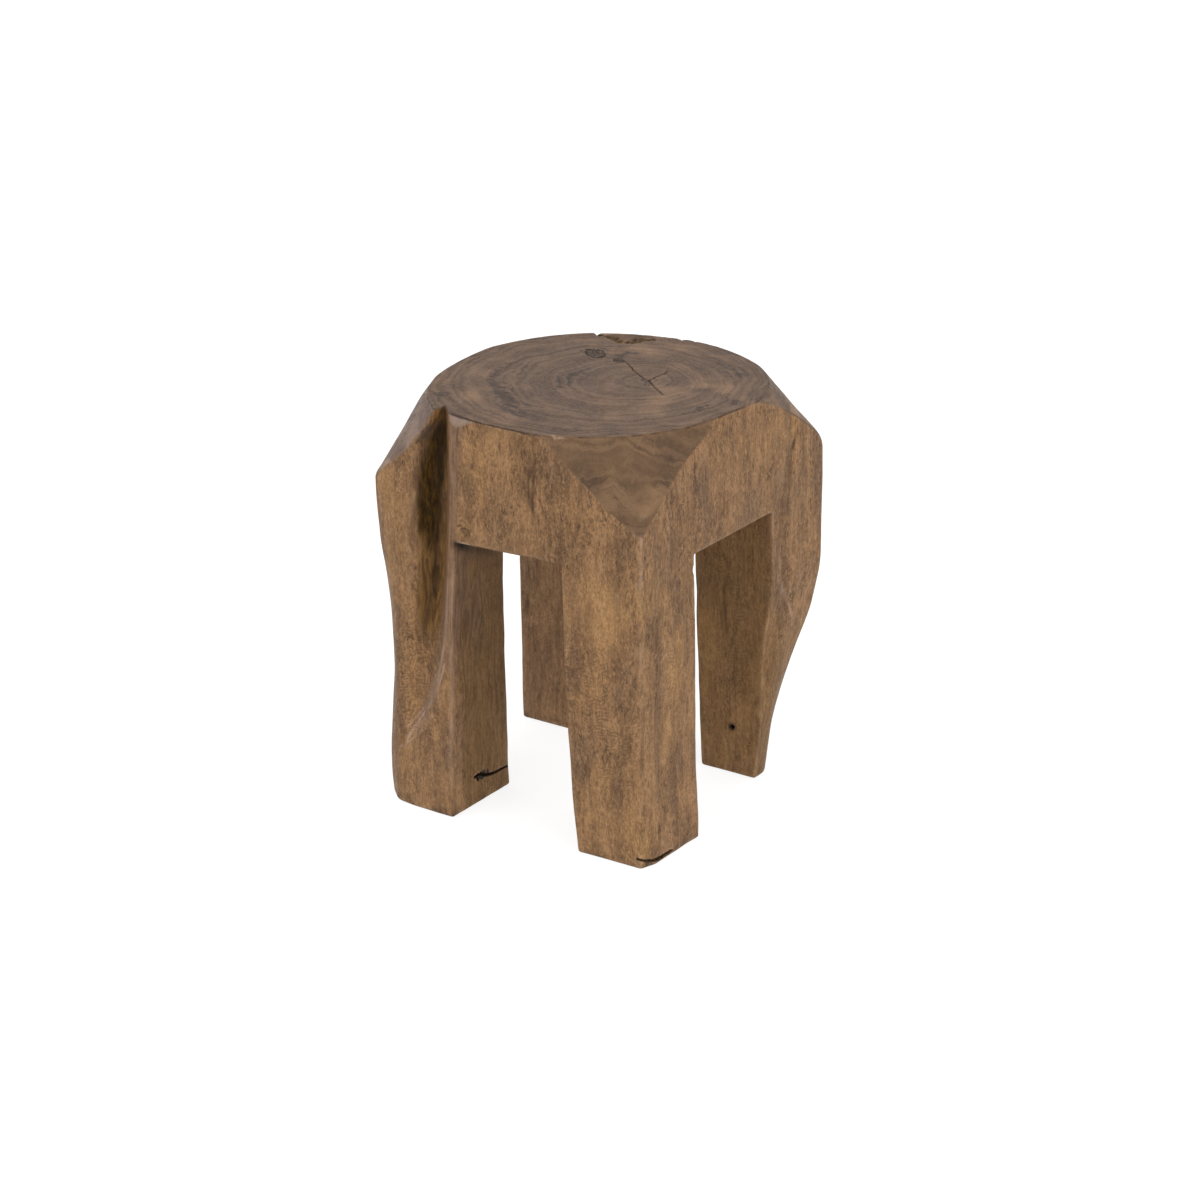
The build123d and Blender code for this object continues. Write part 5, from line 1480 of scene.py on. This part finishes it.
    # end grain colours
    ray_angle = w.node("ShaderNodeMath", operation="ARCTAN2")
    sq = w.node("ShaderNodeSeparateXYZ")
    w.tree.links.new(q, sq.inputs[0])
    w.tree.links.new(sq.outputs[1], ray_angle.inputs[0])
    w.tree.links.new(sq.outputs[0], ray_angle.inputs[1])
    ray_v = w.node("ShaderNodeCombineXYZ")
    w.put(ray_v.inputs[0], w.math("MULTIPLY", w.math("SINE", ray_angle.outputs[0]), 46.0))
    w.put(ray_v.inputs[1], w.math("MULTIPLY", w.math("COSINE", ray_angle.outputs[0]), 46.0))
    w.put(ray_v.inputs[2], w.math("MULTIPLY", ring, 1 / 26.0))
    rays = w.noise(ray_v.outputs[0], detail=2.0, rough=0.6)
    dots = w.noise(scaled(pos, 1.25, 1.25, 1.25), detail=1.0, rough=0.5)
    grit = w.noise(scaled(grain, 3.2, 3.2, 3.2), detail=3.0, rough=0.65)
    cloud = w.noise(scaled(grain, 34, 34, 34), detail=2.5, rough=0.6)
    broken = w.span(w.noise(scaled(pos, 30, 30, 30), detail=2.0), 0.44, 0.60)
    e_light = (0.168, 0.107, 0.070)
    e_mid = (0.104, 0.064, 0.042)
    e_deep = (0.050, 0.033, 0.024)
    top = w.mix(w.span(w.math("ADD", w.math("MULTIPLY", broad, 0.5), w.math("MULTIPLY", band_r, 0.5)), 0.40, 0.60), e_mid, e_light)
    top = w.mix(w.math("MULTIPLY", w.span(cloud, 0.44, 0.64), 0.46), top, (0.080, 0.052, 0.037))
    top = w.mix(w.math("MULTIPLY", w.span(cloud, 0.46, 0.32), 0.28), top, (0.195, 0.124, 0.078))
    top = w.mix(w.math("MULTIPLY", w.math("MULTIPLY", w.span(band_r, 0.54, 0.70), broken), 0.30), top, e_deep)
    top = w.mix(w.math("MULTIPLY", w.math("MULTIPLY", w.span(fine, 0.54, 0.66), broken), 0.62), top, e_deep)
    top = w.mix(w.math("MULTIPLY", w.math("MULTIPLY", w.span(hair, 0.52, 0.72), broken), 0.32), top, e_deep)
    top = w.mix(w.math("MULTIPLY", w.span(rays, 0.56, 0.74), 0.22), top, (0.195, 0.128, 0.084))
    top = w.mix(w.math("MULTIPLY", w.span(grit, 0.52, 0.68), 0.24), top, e_deep)
    top = w.mix(w.math("MULTIPLY", w.span(grit, 0.46, 0.32), 0.24), top, (0.205, 0.135, 0.088))
    top = w.mix(w.math("MULTIPLY", w.span(dots, 0.56, 0.72), 0.20), top, e_deep)

    colour = w.mix(end, side, top)
    # warm and grey drifts
    sunny = w.mix(1.0, colour, w.mix(end, (1.60, 1.62, 1.42), (1.95, 1.92, 1.70)), "MULTIPLY")
    sunny = w.mix(0.35, sunny, w.mix(end, (0.370, 0.205, 0.082), (0.255, 0.158, 0.092)))
    colour = w.mix(w.math("MULTIPLY", w.span(warm, 0.50, 1.05), 0.58), colour, sunny)
    dull = w.mix(1.0, colour, w.mix(end, (0.66, 0.76, 0.98), (0.78, 0.88, 1.02)), "MULTIPLY")
    dull = w.mix(0.35, dull, w.mix(end, (0.150, 0.098, 0.062), (0.098, 0.070, 0.055)))
    colour = w.mix(w.math("MULTIPLY", w.span(warm, 0.48, 0.15), 0.30), colour, dull)
    # stains, and the painted shade kept with them, break up along the grain
    torn = w.math("ADD", w.math("MULTIPLY", w.math("SUBTRACT", w.mix(end, fibre, w.math("ADD", w.math("MULTIPLY", fine, 0.6), w.math("MULTIPLY", broad, 0.4))), 0.5), w.mix(end, 1.0, 0.8)), stain_and_shade)
    colour = w.mix(w.math("MULTIPLY", w.span(torn, 0.10, 0.85), w.span(stain_and_shade, 0.02, 0.45, 0.0, 0.86)), colour, w.mix(end, (0.074, 0.038, 0.018), (0.044, 0.032, 0.026)))
    # tunnel walls darker as painted shade, and more olive
    colour = w.mix(w.math("MULTIPLY", inner, 0.52), colour, w.mix(w.span(w.math("ADD", w.math("MULTIPLY", fibre, 0.6), w.math("MULTIPLY", smudge, 0.4)), 0.38, 0.62), (0.200, 0.103, 0.020), (0.108, 0.055, 0.010)))
    # amber and bark in the natural hollow; edges lighter, partly worn pale and partly painted highlight
    colour = w.mix(w.math("MULTIPLY", amber, 0.88), colour, w.mix(w.span(fibre, 0.38, 0.62), (0.190, 0.094, 0.024), (0.080, 0.040, 0.011)))
    colour = w.mix(w.math("MULTIPLY", mauve, 0.60), colour, w.mix(w.span(fibre, 0.36, 0.62), (0.212, 0.126, 0.078), (0.110, 0.064, 0.039)))
    colour = w.mix(w.math("MULTIPLY", wear_and_highlight, 0.34), colour, w.mix(end, (0.430, 0.275, 0.155), (0.250, 0.170, 0.115)))
    # pale strokes and scratches: partly wear, partly painted highlight
    colour = w.mix(w.math("MULTIPLY", pale, w.span(speck, 0.35, 0.60, 0.45, 0.85)), colour, (0.400, 0.285, 0.215))
    # dark marks: bark in the hollow and the seat's pocket, the chip's torn wood, and painted shade deepening into the
    # hollow
    bark_and_hollow_shade = w.mix(w.span(w.noise(scaled(pos, 3.4, 3.4, 15.0), detail=3.0, rough=0.65), 0.38, 0.66), (0.020, 0.0090, 0.0004), (0.072, 0.034, 0.0028))
    colour = w.mix(w.span(dark, 0.10, 0.85), colour, bark_and_hollow_shade)
    # painted shade in concave places
    colour = w.mix(w.math("MULTIPLY", crevice_shade, 0.35), colour, (0.045, 0.026, 0.014))
    # the small flat at the seat's edge, lighter as a painted highlight, and the thin dark line under that edge
    flat = w.span(w.vec("DOT_PRODUCT", geo.outputs["True Normal"], (-0.136, -0.931, 0.339)), 0.960, 0.985)
    here = w.math("MULTIPLY", w.span(sep_p.outputs[2], 436.0, 438.0), w.math("MULTIPLY", w.span(sep_p.outputs[0], -76.0, -73.0), w.span(sep_p.outputs[0], -33.0, -37.0)))
    colour = w.mix(w.math("MULTIPLY", w.math("MULTIPLY", flat, here), 0.58), colour, (0.275, 0.205, 0.158))
    # each corner facet is tinted: the left and back ones lighter and bluer as a painted sheen, the right one lighter as
    # a painted highlight, the front one a little darker and warmer
    slant = w.math("MULTIPLY", w.math("MULTIPLY", w.span(sep_n.outputs[2], 0.30, 0.42), w.span(sep_n.outputs[2], 0.97, 0.93)), w.span(sep_p.outputs[2], 358.0, 368.0))
    front_tint_right_highlight = w.mix(w.span(sep_p.outputs[1], -30.0, 30.0), (0.97, 0.92, 0.78), (1.12, 1.12, 1.10))
    facet_tint_and_sheen = w.mix(w.span(sep_p.outputs[0], -30.0, 30.0), (1.32, 1.45, 1.68), front_tint_right_highlight)
    colour = w.mix(slant, colour, w.mix(1.0, colour, facet_tint_and_sheen, "MULTIPLY"))
    soft_n = w.node("ShaderNodeSeparateXYZ")
    w.tree.links.new(geo.outputs["Normal"], soft_n.inputs[0])
    # painted shade: a thin dark line along the seat's rounded rim, strongest towards the front corner and fading
    # towards the back
    rim_shade_line = w.math("MULTIPLY", w.span(sep_p.outputs[2], 447.4, 448.4), w.span(soft_n.outputs[2], 0.95, 0.86))
    rim_shade_line = w.math("MULTIPLY", rim_shade_line, w.math("MULTIPLY", w.span(sep_p.outputs[1], 132.0, 112.0), w.span(w.math("ADD", broken, blotch), 0.55, 1.05, 0.35, 1.0)))
    colour = w.mix(w.math("MULTIPLY", rim_shade_line, w.span(w.vec("DOT_PRODUCT", pos, (0.02, -0.02, 0)), -1.2, 0.8, 0.25, 0.62)), colour, (0.040, 0.026, 0.019))
    # painted shade in the crease between the right facet and the front-right face
    crease_shade = w.math("MULTIPLY", w.span(soft_n.outputs[2], 0.10, 0.24), w.span(soft_n.outputs[2], 0.52, 0.36))
    crease_shade = w.math("MULTIPLY", crease_shade, w.math("MULTIPLY", w.span(sep_p.outputs[1], 84.0, 100.0), w.math("MULTIPLY", w.span(sep_p.outputs[0], 120.0, 140.0), w.span(sep_p.outputs[2], 372.0, 384.0))))
    colour = w.mix(w.math("MULTIPLY", crease_shade, 0.55), colour, (0.040, 0.026, 0.019))
    under = w.math("MULTIPLY", w.span(w.math("ADD", sep_p.outputs[2], w.math("MULTIPLY", w.math("SUBTRACT", smudge2, 0.5), 3.0)), 446.4, 447.4), w.span(sep_p.outputs[1], -150.0, -158.0))
    under = w.math("MULTIPLY", under, w.math("MULTIPLY", w.span(sep_p.outputs[0], -78.0, -66.0), w.span(sep_p.outputs[0], 40.0, 22.0)))
    under = w.math("MULTIPLY", under, w.span(sep_n.outputs[2], 0.80, 0.50))
    colour = w.mix(w.math("MULTIPLY", under, 0.85), colour, (0.040, 0.026, 0.019))
    colour = w.mix(1.0, colour, w.mix(end, SIDE_GAIN, TOP_GAIN), "MULTIPLY")
    # near black: cracks, the check, the chip, the darker band at the feet and the painted shadow under the apron
    colour = w.mix(crack, colour, (0.010, 0.007, 0.005))
    w.put(w.shader.inputs["Base Color"], colour)

    rough = w.span(fibre, 0.30, 0.70, 0.46, 0.62)
    rough = w.math("ADD", rough, w.math("MULTIPLY", pores, 0.12))
    rough = w.math("ADD", rough, w.math("MULTIPLY", dark, 0.20), clamp=True)
    w.put(w.shader.inputs["Roughness"], rough)
    w.shader.inputs["Specular IOR Level"].default_value = 0.12

    relief = w.mix(end, w.math("MULTIPLY", w.math("ADD", w.math("MULTIPLY", fibre, 0.7), w.math("MULTIPLY", thread, 0.5)), 1.0),
                   w.math("ADD", w.math("MULTIPLY", fine, 0.5), w.math("MULTIPLY", dots, 0.5)))
    relief = w.math("SUBTRACT", relief, w.math("MULTIPLY", pores, 0.55))
    relief = w.math("ADD", relief, w.math("MULTIPLY", w.noise(scaled(pos, 24, 24, 40), detail=1.0), 1.6))
    w.put(w.shader.inputs["Normal"], w.bump(relief, 0.00035, 0.8))
    return w.material


body.data.materials.clear()
body.data.materials.append(wood_material())


def filler_material():
    w = Nodes("dark_filler")
    pos, tc = w.millimetres()
    a = w.noise(w.vec("MULTIPLY", pos, (1 / 2.2,) * 3), detail=3.0, rough=0.6)
    b2 = w.noise(w.vec("MULTIPLY", pos, (1 / 8.0,) * 3), detail=1.0, distortion=2.2)
    c = w.mix(w.span(b2, 0.40, 0.60), (0.040, 0.028, 0.021), (0.112, 0.080, 0.060))
    c = w.mix(w.math("MULTIPLY", w.span(w.math("ABSOLUTE", w.math("SUBTRACT", b2, 0.5)), 0.05, 0.015), 0.7), c, (0.020, 0.014, 0.011))
    c = w.mix(w.math("MULTIPLY", w.span(a, 0.50, 0.66), 0.4), c, (0.026, 0.018, 0.014))
    w.put(w.shader.inputs["Base Color"], c)
    w.put(w.shader.inputs["Roughness"], w.span(a, 0.3, 0.7, 0.60, 0.80))
    w.shader.inputs["Specular IOR Level"].default_value = 0.08
    w.put(w.shader.inputs["Normal"], w.bump(a, 0.0003, 0.6))
    return w.material


def nylon_material():
    w = Nodes("glide_nylon")
    pos, tc = w.millimetres()
    a = w.noise(w.vec("MULTIPLY", pos, (1 / 1.2,) * 3), detail=2.0)
    scuff = w.noise(w.vec("MULTIPLY", pos, (1 / 6.0, 1 / 0.6, 1 / 3.0)), detail=2.0)
    c = w.mix(w.span(a, 0.3, 0.7), (0.040, 0.026, 0.018), (0.062, 0.041, 0.029))
    c = w.mix(w.math("MULTIPLY", w.span(scuff, 0.60, 0.75), 0.6), c, (0.16, 0.13, 0.11))
    w.put(w.shader.inputs["Base Color"], c)
    w.put(w.shader.inputs["Roughness"], w.span(scuff, 0.4, 0.7, 0.38, 0.62))
    w.put(w.shader.inputs["Normal"], w.bump(a, 0.0001, 0.5))
    return w.material


def steel_material():
    w = Nodes("nail_wire")
    pos, tc = w.millimetres()
    a = w.noise(w.vec("MULTIPLY", pos, (1 / 0.5, 1 / 0.5, 1 / 8.0)), detail=2.0)
    w.put(w.shader.inputs["Base Color"], w.mix(w.span(a, 0.35, 0.65), (0.42, 0.42, 0.43), (0.60, 0.60, 0.60)))
    w.shader.inputs["Metallic"].default_value = 1.0
    w.put(w.shader.inputs["Roughness"], w.span(a, 0.3, 0.7, 0.28, 0.45))
    w.put(w.shader.inputs["Normal"], w.bump(a, 0.0001, 0.4))
    return w.material


def assign(node, material):
    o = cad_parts[node]
    if not o.data.materials:
        o.data.materials.append(material)
    for i in range(len(o.material_slots)):
        o.material_slots[i].material = material


filler, nylon, steel = filler_material(), nylon_material(), steel_material()


def filler_mesh(name, node, edge, grow, top, bottom, rings):
    """A filler pressed into its recess: a closed block with an uneven top."""
    edge = np.asarray(edge, float)
    c = edge.mean(0)
    n = len(edge)
    verts = [(c[0], c[1], 0.0)]
    for k in range(1, rings + 1):
        f = k / rings
        ring = c + (edge - c) * (f * (1 + grow * (k == rings)))
        verts += [(a, b, 0.0) for a, b in ring]
    verts = np.array(verts)
    verts[:, 2] = top + 0.14 * FINE_WAVE(verts * 1.3) - 0.16 * np.exp(-(np.hypot(verts[:, 0] - c[0], verts[:, 1] - c[1]) / 5.0) ** 2)
    low = verts[-n:].copy()
    low[:, 2] = bottom
    verts = np.vstack([verts, low, [(c[0], c[1], bottom)]])
    tris = []
    last = 1 + (rings - 1) * n
    for i in range(n):
        j = (i + 1) % n
        tris.append((0, 1 + i, 1 + j))
        for k in range(1, rings):
            a, b = 1 + (k - 1) * n, 1 + k * n
            tris += [(a + i, b + i, b + j), (a + i, b + j, a + j)]
        low0 = 1 + rings * n
        tris += [(last + i, low0 + i, low0 + j), (last + i, low0 + j, last + j), (low0 + n, low0 + j, low0 + i)]
    tris = np.array(tris)
    p, q, r = verts[tris[0]]
    if np.cross(q - p, r - p)[2] < 0:
        tris = tris[:, ::-1]
    obj = make_mesh(name, (verts + SHIFT) / 1000.0, tris)
    obj.data.materials.append(filler)
    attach(obj, "root")
    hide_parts(node)
    return obj


filler_mesh("knot_fill", "knot_filler", KNOT_EDGE, 0.035, 449.42, 445.9, 6)
filler_mesh("knot_fill_small", "knot_filler_small", KNOT_SMALL_EDGE, 0.05, 449.40, 446.0, 4)


def ribbon(paths, half, top, bottom):
    """Thin standing strips along the branches of the drying check."""
    verts, tris = [], []
    for path, w0, w1 in paths:
        path = np.asarray(path, float)
        t = np.gradient(path, axis=0)
        t /= np.linalg.norm(t, axis=1)[:, None]
        side = np.stack([-t[:, 1], t[:, 0]], 1)
        f = np.linspace(w0, w1, len(path))[:, None] * half
        a, b = path + side * f, path - side * f
        base = len(verts)
        m = len(path)
        for k in range(m):
            for q, z in ((a[k], top), (b[k], top), (b[k], bottom), (a[k], bottom)):
                verts.append((q[0], q[1], z))
        for k in range(m - 1):
            o = base + 4 * k
            for u in range(4):
                v = (u + 1) % 4
                tris += [(o + u, o + v, o + 4 + v), (o + u, o + 4 + v, o + 4 + u)]
        o = base + 4 * (m - 1)
        tris += [(base, base + 2, base + 1), (base, base + 3, base + 2), (o, o + 1, o + 2), (o, o + 2, o + 3)]
    return np.array(verts), np.array(tris)


check_v, check_t = ribbon([(jitter(CHECK_STEM, 4.0, 0.28, 3), 0.8, 1.0), (jitter(CHECK_ARM_A, 4.0, 0.28, 4), 1.0, 0.45), (jitter(CHECK_ARM_B, 4.0, 0.28, 5), 1.0, 0.45)],
                          1.15, 449.0, 446.2)
check = make_mesh("check_fill", (check_v + SHIFT) / 1000.0, check_t)
for poly in check.data.polygons:
    poly.use_smooth = False
check.data.materials.append(filler)
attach(check, "root")
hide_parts("heart_check_filler")

for name in ("front", "right", "back", "left"):
    assign("glide_" + name, nylon)
    assign("glide_nail_" + name, steel)

# ---------------------------------------------------------------------------------------------
# floor, light, camera
# ---------------------------------------------------------------------------------------------
bpy.context.scene.view_settings.view_transform = "Standard"
world = bpy.data.worlds.new("studio")
bpy.context.scene.world = world
world.use_nodes = True
world.node_tree.nodes["Background"].inputs[0].default_value = (1, 1, 1, 1)
world.node_tree.nodes["Background"].inputs[1].default_value = 1.0

bpy.ops.mesh.primitive_plane_add(size=14, location=(0, 0, 0))
floor = bpy.context.object
floor.name = "floor"
fm = Nodes("floor")
fm.shader.inputs["Base Color"].default_value = (0.30, 0.30, 0.30, 1)
fm.shader.inputs["Emission Color"].default_value = (1, 1, 1, 1)
fm.shader.inputs["Emission Strength"].default_value = 0.80
fm.shader.inputs["Roughness"].default_value = 0.9
fm.shader.inputs["Specular IOR Level"].default_value = 0.0
floor.data.materials.append(fm.material)


def area_light(name, location, target, size, power, color=(1, 1, 1)):
    data = bpy.data.lights.new(name, "AREA")
    data.shape = "SQUARE"
    data.size = size
    data.energy = power
    data.color = color
    o = bpy.data.objects.new(name, data)
    bpy.context.scene.collection.objects.link(o)
    o.location = location
    o.rotation_euler = (Vector(target) - Vector(location)).to_track_quat("-Z", "Y").to_euler()
    return o


area_light("key", (-0.9, -2.3, 2.6), (0, 0, 0.25), 1.8, 24.5)
area_light("fill", (2.4, -0.8, 1.4), (0, 0, 0.25), 1.8, 23.0)

AZ, EL, DIST = math.radians(34.785), math.radians(22.090), 3.7045
right = np.array([math.cos(AZ), math.sin(AZ), 0])
back = np.array([math.sin(AZ) * math.cos(EL), -math.cos(AZ) * math.cos(EL), math.sin(EL)])
up = np.cross(back, right)
target = np.array([0, 0, 0.225]) - 0.00356 * right - 0.01708 * up + SHIFT / 1000.0
place = target + DIST * back
cam_data = bpy.data.cameras.new("camera")
cam_data.lens = 105.0
cam_data.sensor_width = 36.0
cam_data.sensor_fit = "HORIZONTAL"
cam_data.clip_end = 50
cam = bpy.data.objects.new("camera", cam_data)
bpy.context.scene.collection.objects.link(cam)
cam.location = Vector(place)
cam.rotation_euler = (Vector(target) - Vector(place)).to_track_quat("-Z", "Y").to_euler()
bpy.context.scene.camera = cam
